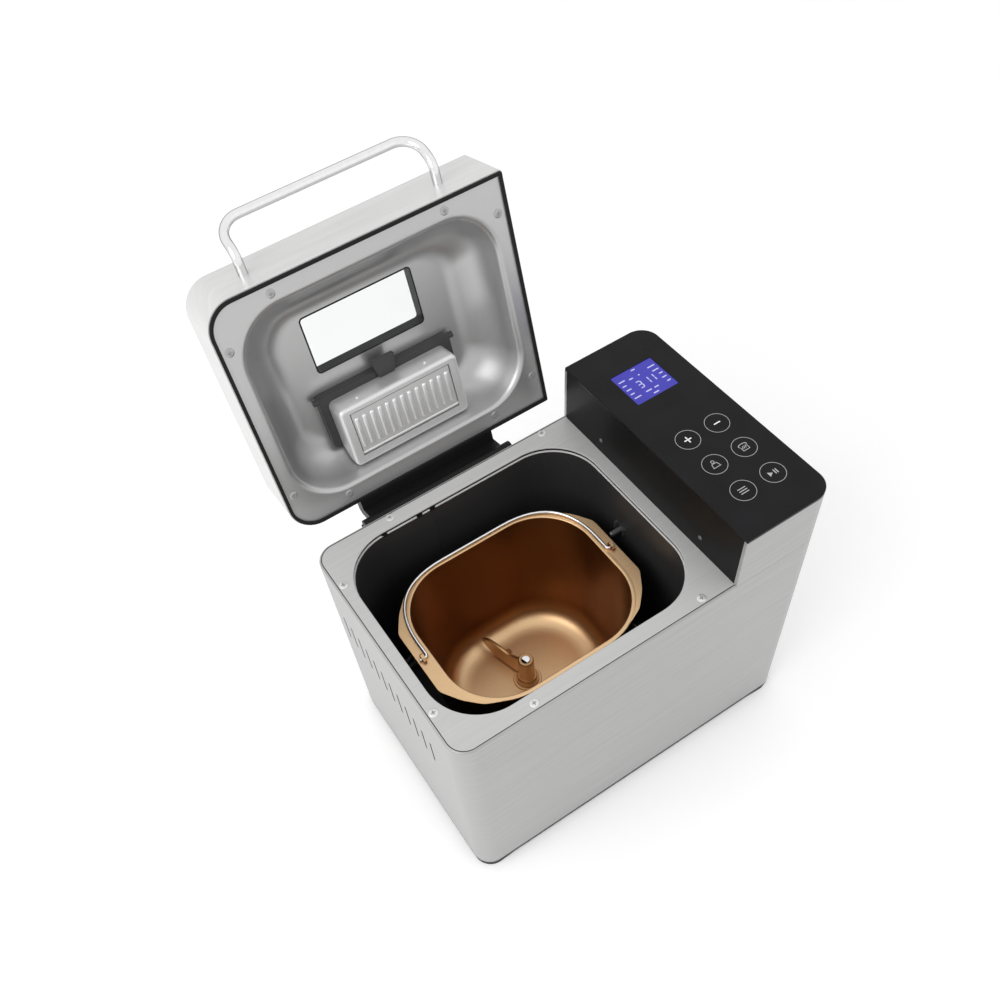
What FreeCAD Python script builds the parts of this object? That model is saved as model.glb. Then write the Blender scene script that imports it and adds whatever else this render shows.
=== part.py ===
import FreeCAD, Part
import Sketcher
import math
import os
import re

# Driving dimensions of the bread machine, in millimetres and degrees.
sizes = {
    # casing
    "case_height": 257,
    "base_gap": 10,
    "corner_radius": 19,
    "sheet_gauge": 1.2,
    "lip_width": 2.2,
    "lip_depth": 5,
    "lip_round": 1.8,
    "fit_gap": 0.3,
    "tray_floor": 3,
    "tray_drop": 1.5,
    "tray_rim": 14,
    "tray_wall": 2,
    "foot_length": 70,
    "foot_width": 46,
    "foot_inset": 1,
    "foot_recede": 2.5,
    "foot_end": 10,
    "foot_waist": 12,
    "foot_heel": 6,
    "vent_count": 12,
    "vent_pitch": 14.4,
    "vent_width": 2.6,
    "vent_height": 36,
    "vent_rise": 158,
    "vent_shift": 11,
    # deck and oven chamber
    "deck_gauge": 1.2,
    "deck_tuck": 8,
    "deck_rim": 4,
    "frame_plate": 3,
    "frame_depth": 16,
    "frame_wall": 3,
    "wiring_inset": 25,
    "mouth_margin": 13.5,
    "deck_bridge": 13,
    "deck_strip": 17.5,
    "side_clear": 17.25,
    "mouth_clear": 23.3,
    "mouth_radius": 51,
    "mouth_round": 0.6,
    "chamber_gap": 0.8,
    "chamber_gauge": 1,
    "chamber_flange": 7.5,
    "chamber_floor": 40,
    "chamber_round": 9,
    # fasteners
    "screw_head": 7,
    "screw_rise": 0.8,
    "screw_shank": 3,
    "screw_length": 5.5,
    "screw_gap": 0.15,
    "deck_screw_length": 3.8,
    "deck_screw_inset": 7.6,
    "deck_screw_west": 61.75,
    "deck_screw_east": 109.25,
    "deck_screw_front": 8,
    "deck_screw_back": 6.5,
    "deck_screw_side": 77.2,
    # heating
    "element_dia": 6.5,
    "element_inset": 12,
    "element_rise": 28,
    "element_bend": 38,
    "element_turn": 12,
    "element_half_gap": 16,
    "insulator_dia": 11.6,
    "insulator_flange": 16,
    "probe_dia": 5.5,
    "probe_reach": 13,
    "probe_y": 16,
    "probe_drop": 58,
    "probe_nose": 1.5,
    # drive
    "bridge_length": 130,
    "bridge_depth": 180,
    "bridge_gauge": 1.5,
    "shaft_dia": 8,
    "shaft_flat": 2,
    "shaft_tip": 0.8,
    "run_gap": 0.05,
    "bush_dia": 14,
    "bush_length": 4.5,
    "boss_dia": 26,
    "bearing_flange": 70,
    "bearing_flange_thick": 4,
    "bearing_length": 12,
    "bearing_rise": 1.5,
    "pulley_radius": 42,
    "pulley_lip": 3,
    "pulley_flange": 1.2,
    "pulley_floor": 16,
    "pulley_hub": 20,
    "motor_pulley_radius": 8.4,
    "motor_shaft_dia": 6,
    "belt_thick": 2,
    "belt_width": 8,
    "motor_inset": 52,
    "motor_back": 100,
    "motor_dia": 76,
    "motor_height": 72,
    "motor_deck": 39.5,
    "bracket_gauge": 1.5,
    "bracket_length": 84,
    "bracket_depth": 92,
    "leg_size": 9,
    "mount_height": 5,
    "mount_dia": 11,
    "mount_pitch": 50,
    "coupling_dia": 34,
    "coupling_plate": 3,
    "coupling_gap": 1,
    "dog_height": 4,
    "dog_width": 7,
    "dog_inner": 5.5,
    "dog_outer": 15,
    "board_length": 78,
    "board_depth": 72,
    "board_inset": 46,
    "board_front": 51,
    "board_rise": 16,
    "board_thick": 1.6,
    "part_height": 22,
    # pan
    "pan_rim_drop": 52,
    "pan_length": 200,
    "pan_depth": 168.4,
    "pan_rim_width": 8,
    "pan_rim_thick": 4,
    "pan_radius": 60,
    "pan_floor_rise": 69,
    "pan_floor_draft": 5.3,
    "pan_floor_round": 22,
    "wall_gap": 12,
    "pan_wall": 2.2,
    "ear_out": 10,
    "ear_half": 51,
    "ear_chamfer": 10,
    "collar_dia": 92,
    "collar_wall": 4,
    "seat_width": 10,
    "seat_height": 8,
    "seat_ledge": 2,
    "pan_boss_dia": 30,
    "pan_boss_length": 12,
    "seal_dia": 29,
    "seal_thick": 0.8,
    "lug_width": 9,
    "lug_thick": 3,
    "lug_inset": 5.5,
    "lug_rise": 5.4,
    "bail_dia": 3,
    "bail_rise": 1.8,
    "bail_reach": 83,
    "bail_corner": 45,
    "bail_bend": 3,
    "bail_tip": 2,
    "paddle_hub": 16,
    "paddle_collar": 25,
    "collar_rise": 5,
    "collar_crest": 9,
    "hub_bevel": 1.5,
    "paddle_height": 38,
    "paddle_gap": 1.2,
    "paddle_reach": 60,
    "paddle_thick": 4,
    "blade_gap": 1,
    "blade_nose": 13,
    "blade_tip": 19,
    "blade_crest": 26,
    "blade_saddle": 24,
    "blade_root": 31,
    "paddle_angle": 16,
    # control box
    "control_width": 95,
    "control_draft": 1.9,
    "control_height": 61.6,
    "glass_thick": 3,
    "glass_bevel": 0.5,
    "wall_thick": 2,
    "wrap_return": 3.5,
    "rail_width": 5,
    "touch_drop": 9,
    "lcd_left": 24,
    "lcd_front": 171,
    "lcd_width": 45,
    "lcd_depth": 41,
    "lcd_sink": 0.4,
    "housing_screw_rise": 15,
    "housing_screw_shift": -4.6,
    "housing_screw_side": 70.5,
    # lid
    "lid_overlap": 11.5,
    "lid_height": 62,
    "lid_set_back": 9,
    "lid_back_gap": 10.5,
    "lid_gap": 1,
    "lid_radius": 27,
    "lid_corner": 3,
    "lid_edge_round": 2.2,
    "lid_slope_run": 18,
    "lid_slope_rise": 20,
    "lid_angle": 103.7,
    "gasket_thick": 2.2,
    "gasket_width": 4.6,
    "gasket_inset": 1,
    "liner_gauge": 1,
    "liner_inset": 1.4,
    "liner_screw_front": 11.5,
    "liner_screw_back": 14,
    "liner_screw_west": 10.5,
    "liner_screw_east": 11.5,
    "liner_screw_corner": 59,
    "liner_screw_end": 41,
    "liner_screw_near": 34,
    "lid_flange": 16.8,
    "lid_flange_side": 13.4,
    "lid_flange_thick": 3,
    "dish_margin": 18,
    "dish_back": 22,
    "dish_front": 21.5,
    "dish_depth": 46,
    "dish_draft": 6,
    "dish_radius": 46,
    "dish_floor_round": 12,
    "dish_lip_round": 4,
    "window_shift": -1.5,
    "window_width": 109.5,
    "window_back": 113.5,
    "window_depth": 53.5,
    "window_radius": 3,
    "window_wall": 1.2,
    "window_lip": 0.4,
    "pane_ledge": 5,
    "pane_rim": 8,
    "pane_thick": 3,
    "pane_gap": 0.2,
    # lid handle
    "handle_dia": 8,
    "handle_span": 182.3,
    "handle_shift": 1.6,
    "handle_rise": 29,
    "handle_leg": 18,
    "handle_out": 35,
    "handle_up": 28,
    "handle_bend": 14,
    "handle_corner": 20,
    "handle_screw": 4,
    # hinge
    "pivot_back": 7,
    "pivot_drop": 11.5,
    "hinge_length": 164,
    "knuckle_length": 8,
    "knuckle_radius": 6.4,
    "pin_dia": 4,
    "arm_half": 5.5,
    "arm_low": 17,
    "arm_high": 31,
    "arm_bevel": 4,
    "hinge_plate": 3,
    "hinge_drop": 34,
    "stop_reach": 18,
    "stop_thick": 3.3,
    "stop_gap": 2.3,
    "hinge_screw_in": 30,
    "hinge_screw_drop": 22,
    # dispenser
    "mount_width": 139,
    "mount_back": 42,
    "mount_front": 95.5,
    "mount_thick": 10,
    "mount_radius": 4,
    "mount_ear": 3,
    "hopper_margin": 12,
    "hopper_rise": 7,
    "box_width": 123.5,
    "box_back": 27,
    "box_front": 89,
    "box_face": 12,
    "box_taper": 15,
    "box_wall": 2,
    "box_radius": 6,
    "box_round": 3.5,
    "flap_width": 104.5,
    "flap_back": 36,
    "flap_front": 82,
    "flap_gap": 0.9,
    "flap_ear": 4,
    "flap_thick": 2.2,
    "flap_sink": 0.6,
    "flap_pin": 2,
    "flap_barrel": 1.9,
    "rib_count": 13,
    "rib_width": 3,
    "rib_height": 1.6,
    "rib_end": 8,
    "latch_width": 25,
    "latch_length": 19,
    "latch_thick": 4,
    "latch_round": 7.5,
    "latch_stem": 1.7,
    "latch_stem_width": 18,
    "latch_travel": 2,
    "latch_seat": 5,
    # cord outlet
    "gland_dia": 14,
    "gland_flange": 20,
    "gland_bore": 8,
    "gland_lip": 3,
    "gland_inset": 48,
    "gland_z": 45,
}

doc = FreeCAD.newDocument("bread_machine")
sheet = doc.addObject("Spreadsheet::Sheet", "Sizes")
for row, (name, size) in enumerate(sizes.items(), 1):
    sheet.set(f"A{row}", name)
    sheet.set(f"B{row}", str(size))
    sheet.setAlias(f"B{row}", name)
doc.recompute()

pieces = []


def bound(text):
    # The expression with each driving dimension read from the sheet.
    return re.sub(r"[A-Za-z_]\w*", lambda w: "Sizes." + w[0] if w[0] in sizes else w[0], str(text))


def value(text):
    result = sheet.evalExpression(bound(text))
    return float(getattr(result, "Value", result))


def vector(x, y, z):
    return FreeCAD.Vector(value(x), value(y), value(z))


# Places shared by many pieces, as expressions of the driving dimensions.
ear_reach = "(pan_length / 2 + ear_out)"
mouth_length = f"(2 * {ear_reach} + 2 * side_clear)"
mouth_depth = "(pan_depth + 2 * mouth_clear)"
case_width = f"(mouth_margin + {mouth_length} + deck_bridge + control_width)"
case_depth = f"({mouth_depth} + 2 * deck_strip)"
lid_width = f"(mouth_margin + {mouth_length} + lid_overlap)"
lid_length = f"({case_depth} - lid_set_back - lid_back_gap)"
left = f"(-{case_width} / 2)"
right = f"({case_width} / 2)"
front = f"(-{case_depth} / 2)"
back = f"({case_depth} / 2)"
deck_top = "(base_gap + case_height)"
tray_top = "(base_gap - tray_drop + tray_floor)"
mouth_left = f"({left} + mouth_margin)"
mouth_right = f"({mouth_left} + {mouth_length})"
mouth_front = f"(-{mouth_depth} / 2)"
mouth_back = f"({mouth_depth} / 2)"
axis_x = f"({mouth_left} + {mouth_length} / 2)"
chamber_top = f"({deck_top} - deck_gauge - frame_plate)"
bridge_top = "(chamber_floor - chamber_gauge)"
pan_rim = f"({deck_top} - pan_rim_drop)"
pan_under = "(pan_floor_rise - pan_wall)"
pan_foot = "(chamber_floor + seat_ledge)"
bush_top = "(chamber_floor + bearing_rise)"
bush_foot = f"({bush_top} - bearing_length)"
coupling_foot = f"({bush_top} + fit_gap)"
dog_root = f"({coupling_foot} + coupling_plate)"
upper_tip = f"({dog_root} + coupling_gap)"
upper_root = f"({upper_tip} + dog_height)"
pulley_top = "(pulley_floor + belt_width + 2 * fit_gap + 2 * pulley_flange)"
motor_foot = "(motor_deck + mount_height)"
motor_x = f"({right} - motor_inset)"
motor_y = f"({back} - motor_back)"
element_z = "(chamber_floor + element_rise)"
control_left = f"({right} - control_width)"
control_top = f"({deck_top} + control_height)"
lid_right = f"({left} + {lid_width})"
lid_middle = f"({left} + {lid_width} / 2)"
lid_front = f"({front} + lid_set_back)"
lid_back = f"({lid_front} + {lid_length})"
lid_base = f"({deck_top} + lid_gap)"
lid_top = f"({lid_base} + lid_height)"
lid_seat = f"({lid_base} + gasket_thick)"
dish_floor = f"({lid_base} + dish_depth)"
pane_foot = f"({lid_top} - pane_thick)"
box_face_z = f"({lid_base} + box_face)"
mount_foot = f"({dish_floor} - mount_thick)"
pivot_y = f"({back} + pivot_back)"
pivot_z = f"({deck_top} - pivot_drop)"
hinge_x0 = f"({lid_middle} - hinge_length / 2)"
hinge_x1 = f"({hinge_x0} + hinge_length)"


def outline(x0, x1, y0, y1, radius, right_radius=None):
    # A rectangle with rounded corners; the right-hand corners may have their own radius.
    def draw(sketch):
        a, b, c, d = (value(e) for e in (x0, x1, y0, y1))
        small = right_radius or radius
        rl, rr = value(radius), value(small)
        first = sketch.GeometryCount
        point = lambda x, y: FreeCAD.Vector(x, y, 0)
        line = lambda p, q: sketch.addGeometry(Part.LineSegment(p, q), False)

        def corner(x, y, r, start):
            circle = Part.Circle(point(x, y), FreeCAD.Vector(0, 0, 1), r)
            sketch.addGeometry(Part.ArcOfCircle(circle, start, start + math.pi / 2), False)

        line(point(a + rl, c), point(b - rr, c))
        corner(b - rr, c + rr, rr, -math.pi / 2)
        line(point(b, c + rr), point(b, d - rr))
        corner(b - rr, d - rr, rr, 0)
        line(point(b - rr, d), point(a + rl, d))
        corner(a + rl, d - rl, rl, math.pi / 2)
        line(point(a, d - rl), point(a, c + rl))
        corner(a + rl, c + rl, rl, math.pi)
        for step in range(8):
            pair = (first + step, 2, first + (step + 1) % 8, 1)
            sketch.addConstraint(Sketcher.Constraint("Tangent", *pair))
        for step, kind in ((0, "Horizontal"), (2, "Vertical"), (4, "Horizontal"), (6, "Vertical")):
            sketch.addConstraint(Sketcher.Constraint(kind, first + step))
        place(sketch, "DistanceX", first + 6, 1, x0)
        place(sketch, "DistanceX", first + 2, 1, x1)
        place(sketch, "DistanceY", first, 1, y0)
        place(sketch, "DistanceY", first + 4, 1, y1)
        for step, size in ((1, small), (3, small), (5, radius), (7, radius)):
            held = sketch.addConstraint(Sketcher.Constraint("Radius", first + step, value(size)))
            sketch.setExpression(f"Constraints[{held}]", bound(size))

    return draw


def place(sketch, kind, edge, end, text):
    # Holds a point of the sketch at a distance from the sketch's origin.
    if abs(value(text)) < 1e-9:
        axis = -2 if kind == "DistanceX" else -1
        sketch.addConstraint(Sketcher.Constraint("PointOnObject", edge, end, axis))
        return
    held = sketch.addConstraint(Sketcher.Constraint(kind, -1, 1, edge, end, value(text)))
    sketch.setExpression(f"Constraints[{held}]", bound(text))


def disc(x, y, radius):
    def draw(sketch):
        centre = FreeCAD.Vector(value(x), value(y), 0)
        edge = sketch.addGeometry(Part.Circle(centre, FreeCAD.Vector(0, 0, 1), value(radius)), False)
        place(sketch, "DistanceX", edge, 3, x)
        place(sketch, "DistanceY", edge, 3, y)
        held = sketch.addConstraint(Sketcher.Constraint("Radius", edge, value(radius)))
        sketch.setExpression(f"Constraints[{held}]", bound(radius))

    return draw


def polygon(*corners):
    def draw(sketch):
        first = sketch.GeometryCount
        spots = [FreeCAD.Vector(value(x), value(y), 0) for x, y in corners]
        for here, there in zip(spots, spots[1:] + spots[:1]):
            sketch.addGeometry(Part.LineSegment(here, there), False)
        count = len(corners)
        for step in range(count):
            pair = (first + step, 2, first + (step + 1) % count, 1)
            sketch.addConstraint(Sketcher.Constraint("Coincident", *pair))
        for step, (x, y) in enumerate(corners):
            place(sketch, "DistanceX", first + step, 1, x)
            place(sketch, "DistanceY", first + step, 1, y)

    return draw


def new_body(label):
    body = doc.addObject("PartDesign::Body", label)
    body.Label = label
    pieces.append(body)
    return body


def sketch_on(body, plane, offset, outlines):
    sketch = body.newObject("Sketcher::SketchObject", body.Label + "_sketch")
    support = [f for f in body.Origin.OriginFeatures if f.Role == plane][0]
    sketch.AttachmentSupport = [(support, "")]
    sketch.MapMode = "FlatFace"
    sketch.setExpression("AttachmentOffset.Base.z", bound(offset))
    for draw in outlines:
        draw(sketch)
    doc.recompute()
    return sketch


def pad(body, low, high, *outlines, plane="XY_Plane"):
    # A prism from one level to another along the plane's normal.
    feature = body.newObject("PartDesign::Pad", body.Label + "_pad")
    feature.Profile = sketch_on(body, plane, low, outlines)
    feature.setExpression("Length", bound(f"{high} - ({low})"))
    doc.recompute()
    return feature


def pocket(body, low, high, *outlines, plane="XY_Plane"):
    # Removes a prism between two levels along the plane's normal.
    before = body.Shape.Volume
    feature = body.newObject("PartDesign::Pocket", body.Label + "_pocket")
    feature.Profile = sketch_on(body, plane, high, outlines)
    feature.setExpression("Length", bound(f"{high} - ({low})"))
    doc.recompute()
    if body.Shape.Volume > before - 1e-3:
        raise RuntimeError(f"a pocket of {body.Label} cuts nothing")
    return feature


def loft(body, kind, *levels):
    # A form drawn through outlines at successive levels.
    sections = [sketch_on(body, "XY_Plane", level, [draw]) for level, draw in levels]
    feature = body.newObject("PartDesign::" + kind, body.Label + "_loft")
    feature.Profile = sections[0]
    feature.Sections = sections[1:]
    feature.Ruled = True
    doc.recompute()
    return feature


def revolve(body, plane_offset, corners, axis="V_Axis"):
    feature = body.newObject("PartDesign::Revolution", body.Label + "_turned")
    feature.Profile = sketch_on(body, "XZ_Plane", plane_offset, [polygon(*corners)])
    feature.ReferenceAxis = (feature.Profile[0], [axis])
    feature.Angle = 360
    doc.recompute()
    return feature


def flat_edges(shape, level, test=lambda edge: True):
    # Names of the edges that lie wholly at one height and pass the test.
    names = []
    for number, edge in enumerate(shape.Edges, 1):
        box = edge.BoundBox
        if abs(box.ZMin - level) < 0.01 and abs(box.ZMax - level) < 0.01 and test(edge):
            names.append(f"Edge{number}")
    return names


def fillet(body, base, names, radius):
    feature = body.newObject("PartDesign::Fillet", body.Label + "_round")
    feature.Base = (base, names)
    feature.setExpression("Radius", bound(radius))
    doc.recompute()
    return feature


def shelled(body, base, level, gauge):
    # Hollows the form, open through its flat face at one height.
    faces = [f"Face{n}" for n, f in enumerate(base.Shape.Faces, 1)
             if abs(f.BoundBox.ZMin - level) < 0.01 and abs(f.BoundBox.ZMax - level) < 0.01]
    feature = body.newObject("PartDesign::Thickness", body.Label + "_shell")
    feature.Base = (base, faces)
    feature.setExpression("Value", bound(gauge))
    feature.Reversed = True
    feature.Mode = "Skin"
    feature.Join = "Intersection"
    doc.recompute()
    return feature


def solid(label, shape):
    # A piece whose shape is worked out here from the sheet's values.
    feature = doc.addObject("Part::Feature", label)
    feature.Label = label
    feature.Shape = shape
    pieces.append(feature)
    return feature


def prism(x0, x1, y0, y1, z0, z1):
    corner = vector(x0, y0, z0)
    size = vector(x1, y1, z1) - corner
    return Part.makeBox(size.x, size.y, size.z, corner)


def rod(radius, start, end):
    way = end - start
    return Part.makeCylinder(value(radius), way.Length, start, way)


def turned(corners, base, axis):
    # A solid of revolution: corners are (radius, distance along the axis).
    spots = [FreeCAD.Vector(value(r), 0, value(z)) for r, z in corners]
    face = Part.Face(Part.makePolygon(spots + spots[:1]))
    shape = face.revolve(FreeCAD.Vector(), FreeCAD.Vector(0, 0, 1), 360)
    shape.Placement = FreeCAD.Placement(base, FreeCAD.Rotation(FreeCAD.Vector(0, 0, 1), axis))
    return shape


def ring(outer, inner, start, end):
    return rod(outer, start, end).cut(rod(inner, start, end))


def screw(head, axis, size="screw_head", shank="screw_shank", length="screw_length"):
    # A low-headed screw; the head's seat is at the given point and the shank runs along the axis.
    corners = [(0, "-screw_rise"), (f"{size} * 0.38", "-screw_rise"), (f"{size} / 2", "-screw_rise * 0.4"),
               (f"{size} / 2", 0), (f"{shank} / 2", 0), (f"{shank} / 2", length), (0, length)]
    return turned(corners, head, axis)


def bent_path(corners, radii):
    # Straight runs joined by tangent arcs.
    edges = []
    start = corners[0]
    for before, here, after, radius in zip(corners, corners[1:], corners[2:], radii):
        into = (here - before).normalize()
        out = (after - here).normalize()
        turn = into.getAngle(out)
        reach = radius * math.tan(turn / 2)
        first = here - into * reach
        last = here + out * reach
        middle = here + (out - into).normalize() * (radius / math.cos(turn / 2) - radius)
        edges.append(Part.LineSegment(start, first).toShape())
        edges.append(Part.Arc(first, middle, last).toShape())
        start = last
    edges.append(Part.LineSegment(start, corners[-1]).toShape())
    return Part.Wire(edges)


def bent_rod(label, corners, radii, diameter):
    # A round bar swept along a bent path.
    path = doc.addObject("Part::Feature", label + "_path")
    path.Shape = bent_path(corners, radii)
    section = doc.addObject("Part::Circle", label + "_section")
    section.setExpression("Radius", bound(f"{diameter} / 2"))
    way = corners[1] - corners[0]
    section.Placement = FreeCAD.Placement(corners[0], FreeCAD.Rotation(FreeCAD.Vector(0, 0, 1), way))
    sweep = doc.addObject("Part::Sweep", label)
    sweep.Sections = [section]
    sweep.Spine = path
    sweep.Solid = True
    sweep.Frenet = False
    doc.recompute()
    return sweep


def rounded_profile(corners):
    # A closed section from (inset, height, radius) corners.
    spots = [FreeCAD.Vector(value(x), 0, value(z)) for x, z, r in corners]
    edges = []
    ends = []
    for index, (x, z, r) in enumerate(corners):
        here, before, after = spots[index], spots[index - 1], spots[(index + 1) % len(spots)]
        radius = value(r)
        if radius == 0:
            ends.append((here, here))
            continue
        into = (here - before).normalize()
        out = (after - here).normalize()
        turn = into.getAngle(out)
        reach = radius * math.tan(turn / 2)
        first, last = here - into * reach, here + out * reach
        middle = here + (out - into).normalize() * (radius / math.cos(turn / 2) - radius)
        edges.append(Part.Arc(first, middle, last).toShape())
        ends.append((first, last))
    for index, (first, last) in enumerate(ends):
        start = ends[index - 1][1]
        if start.distanceToPoint(first) > 1e-6:
            edges.append(Part.LineSegment(start, first).toShape())
    return Part.Face(Part.Wire(Part.sortEdges(edges)[0]))


def moulded(x0, x1, y0, y1, radius, corners):
    # A section carried round a rectangle with rounded corners; insets are measured inward from its edge.
    low, high = vector(x0, y0, 0), vector(x1, y1, 0)
    bend = value(radius)
    face = rounded_profile(corners)
    face.translate(FreeCAD.Vector(-bend, 0, 0))
    up = FreeCAD.Vector(0, 0, 1)
    centres = [(low.x + bend, low.y + bend), (high.x - bend, low.y + bend), (high.x - bend, high.y - bend),
               (low.x + bend, high.y - bend)]
    shapes = []
    for quarter, centre in enumerate(centres):
        run = (high.x - low.x if quarter % 2 == 0 else high.y - low.y) - 2 * bend
        corner = face.revolve(FreeCAD.Vector(), up, 90)
        side = face.copy()
        side.rotate(FreeCAD.Vector(), up, 90)
        side = side.extrude(FreeCAD.Vector(run, 0, 0))
        for shape in (corner, side):
            shape.rotate(FreeCAD.Vector(), up, 90 * quarter)
            shape.translate(FreeCAD.Vector(centre[0], centre[1], 0))
            shapes.append(shape)
    return shapes[0].multiFuse(shapes[1:]).removeSplitter()


def case_outline(inset):
    return outline(f"{left} + {inset}", f"{right} - ({inset})", f"{front} + {inset}", f"{back} - ({inset})",
                   f"corner_radius - ({inset})")


def mouth_outline(grow):
    return outline(f"{mouth_left} - ({grow})", f"{mouth_right} + {grow}", f"{mouth_front} - ({grow})",
                   f"{mouth_back} + {grow}", f"mouth_radius + {grow}")


def deck_outline(inset, tuck):
    return outline(f"{left} + {inset}", f"{control_left} + {tuck}", f"{front} + {inset}",
                   f"{back} - ({inset})", f"corner_radius - ({inset})", "fit_gap * 5")


# Base: tray and feet.
def make_base():
    tray = new_body("base_tray")
    skin = "sheet_gauge + fit_gap"
    pad(tray, "base_gap - tray_drop", tray_top, case_outline(skin))
    pad(tray, tray_top, f"{tray_top} + tray_rim", case_outline(skin), case_outline(f"{skin} + tray_wall"))

    height = value("base_gap - tray_drop")
    bend = "corner_radius - foot_inset"
    radius = value(bend)
    corners = [(0, bend), ("foot_recede", "foot_width"), ("foot_recede + foot_end", "foot_width + foot_heel"),
               ("foot_length - foot_end", "foot_recede + foot_waist"), ("foot_length", "foot_recede"),
               (bend, 0)]
    spots = [vector(x, y, 0) for x, y in corners]
    nook = FreeCAD.Vector(radius * (1 - math.sqrt(0.5)), radius * (1 - math.sqrt(0.5)), 0)
    edges = [Part.LineSegment(p, q).toShape() for p, q in zip(spots, spots[1:])]
    edges.append(Part.Arc(spots[-1], nook, spots[0]).toShape())
    pad_shape = Part.Face(Part.Wire(edges)).extrude(FreeCAD.Vector(0, 0, height))
    pad_shape.translate(vector(f"{left} + foot_inset", f"{front} + foot_inset", 0))
    across = pad_shape.mirror(FreeCAD.Vector(), FreeCAD.Vector(1, 0, 0))
    pair = [pad_shape, across]
    pair += [foot.mirror(FreeCAD.Vector(), FreeCAD.Vector(0, 1, 0)) for foot in pair]
    solid("rubber_feet", Part.makeCompound(pair))


# Casing: a steel wrap with a rolled top lip and vent slots on both sides.
def make_casing():
    casing = new_body("outer_casing")
    pad(casing, "base_gap", deck_top, case_outline(0), case_outline("sheet_gauge"))
    lip = pad(casing, f"{deck_top} - lip_depth", deck_top, case_outline("sheet_gauge / 2"),
              case_outline("lip_width"))
    outer = flat_edges(lip.Shape, value(deck_top), on_outer_edge)
    fillet(casing, lip, outer, "lip_round")
    middle = "vent_shift - vent_pitch * (vent_count - 1) / 2"
    slot = outline(f"{middle} - vent_width / 2", f"{middle} + vent_width / 2", "base_gap + vent_rise",
                   "base_gap + vent_rise + vent_height", "vent_width * 0.48")
    for low, high in ((f"{left} - 1", f"{left} + lip_width"), (f"{right} - lip_width", f"{right} + 1")):
        cut = pocket(casing, low, high, slot, plane="YZ_Plane")
        row = casing.newObject("PartDesign::LinearPattern", "vent_row")
        row.Originals = [cut]
        row.Direction = ([f for f in casing.Origin.OriginFeatures if f.Role == "Y_Axis"][0], [""])
        row.setExpression("Length", bound("vent_pitch * (vent_count - 1)"))
        row.setExpression("Occurrences", bound("vent_count"))
        casing.Tip = row
        doc.recompute()
    holes = [disc(x, z, "screw_shank / 2 + screw_gap") for x, z in hinge_screw_places()]
    holes.append(disc(f"{right} - gland_inset", "gland_z", "gland_dia / 2"))
    pocket(casing, f"-({back}) - 1", f"-({back}) + lip_width", *holes, plane="XZ_Plane")


def on_outer_edge(edge):
    # True for an edge of the casing's outer outline.
    inside = value(f"{right} - lip_width / 4"), value(f"{back} - lip_width / 4")
    middle = edge.valueAt((edge.FirstParameter + edge.LastParameter) / 2)
    corner = value("corner_radius")
    over = (abs(middle.x) - value(right) + corner, abs(middle.y) - value(back) + corner)
    if min(over) > 0:
        return math.hypot(*over) > corner - value("lip_width / 4")
    return abs(middle.x) > inside[0] or abs(middle.y) > inside[1]


# Deck: the bright top plate, the black frame that carries it, and its screws.
def deck_screw_places():
    across = f"{axis_x} - deck_screw_west", f"{axis_x} + deck_screw_east"
    places = [(x, y) for x in across for y in (f"{front} + deck_screw_front", f"{back} - deck_screw_back")]
    places += [(f"{left} + deck_screw_inset", y) for y in ("-deck_screw_side", "deck_screw_side")]
    return places


def make_deck():
    hole = "screw_shank / 2 + screw_gap"
    holes = [disc(x, y, hole) for x, y in deck_screw_places()]
    deck = new_body("top_deck")
    plate = pad(deck, f"{deck_top} - deck_gauge", deck_top, deck_outline("lip_width + fit_gap", "deck_tuck"),
                mouth_outline(0), *holes)
    fillet(deck, plate, flat_edges(plate.Shape, value(deck_top), at_mouth), "mouth_round")

    frame = new_body("deck_frame")
    wiring = outline(f"{control_left} + wiring_inset", f"{right} - wiring_inset", f"{front} + wiring_inset",
                     f"{back} - wiring_inset", "wall_thick * 4")
    pad(frame, chamber_top, f"{deck_top} - deck_gauge", case_outline("lip_width + fit_gap"),
        mouth_outline("deck_rim"), wiring, *holes)
    inner = case_outline("sheet_gauge + fit_gap + frame_wall")
    pad(frame, f"{deck_top} - lip_depth - deck_gauge", f"{deck_top} - deck_gauge * 2",
        case_outline("lip_width + fit_gap"), inner)
    pad(frame, f"{deck_top} - frame_depth", f"{deck_top} - lip_depth", case_outline("sheet_gauge + fit_gap"),
        inner)

    down = FreeCAD.Vector(0, 0, -1)
    heads = [screw(vector(x, y, deck_top), down, length="deck_screw_length")
             for x, y in deck_screw_places()]
    solid("deck_screws", Part.makeCompound(heads))


def at_mouth(edge):
    # True for an edge along the chamber mouth.
    middle = edge.valueAt((edge.FirstParameter + edge.LastParameter) / 2)
    grown = value(mouth_left) - 1 < middle.x < value(mouth_right) + 1
    return grown and abs(middle.y) < value(mouth_back) + 1 and edge.Length > value("screw_head") * 3


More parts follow.
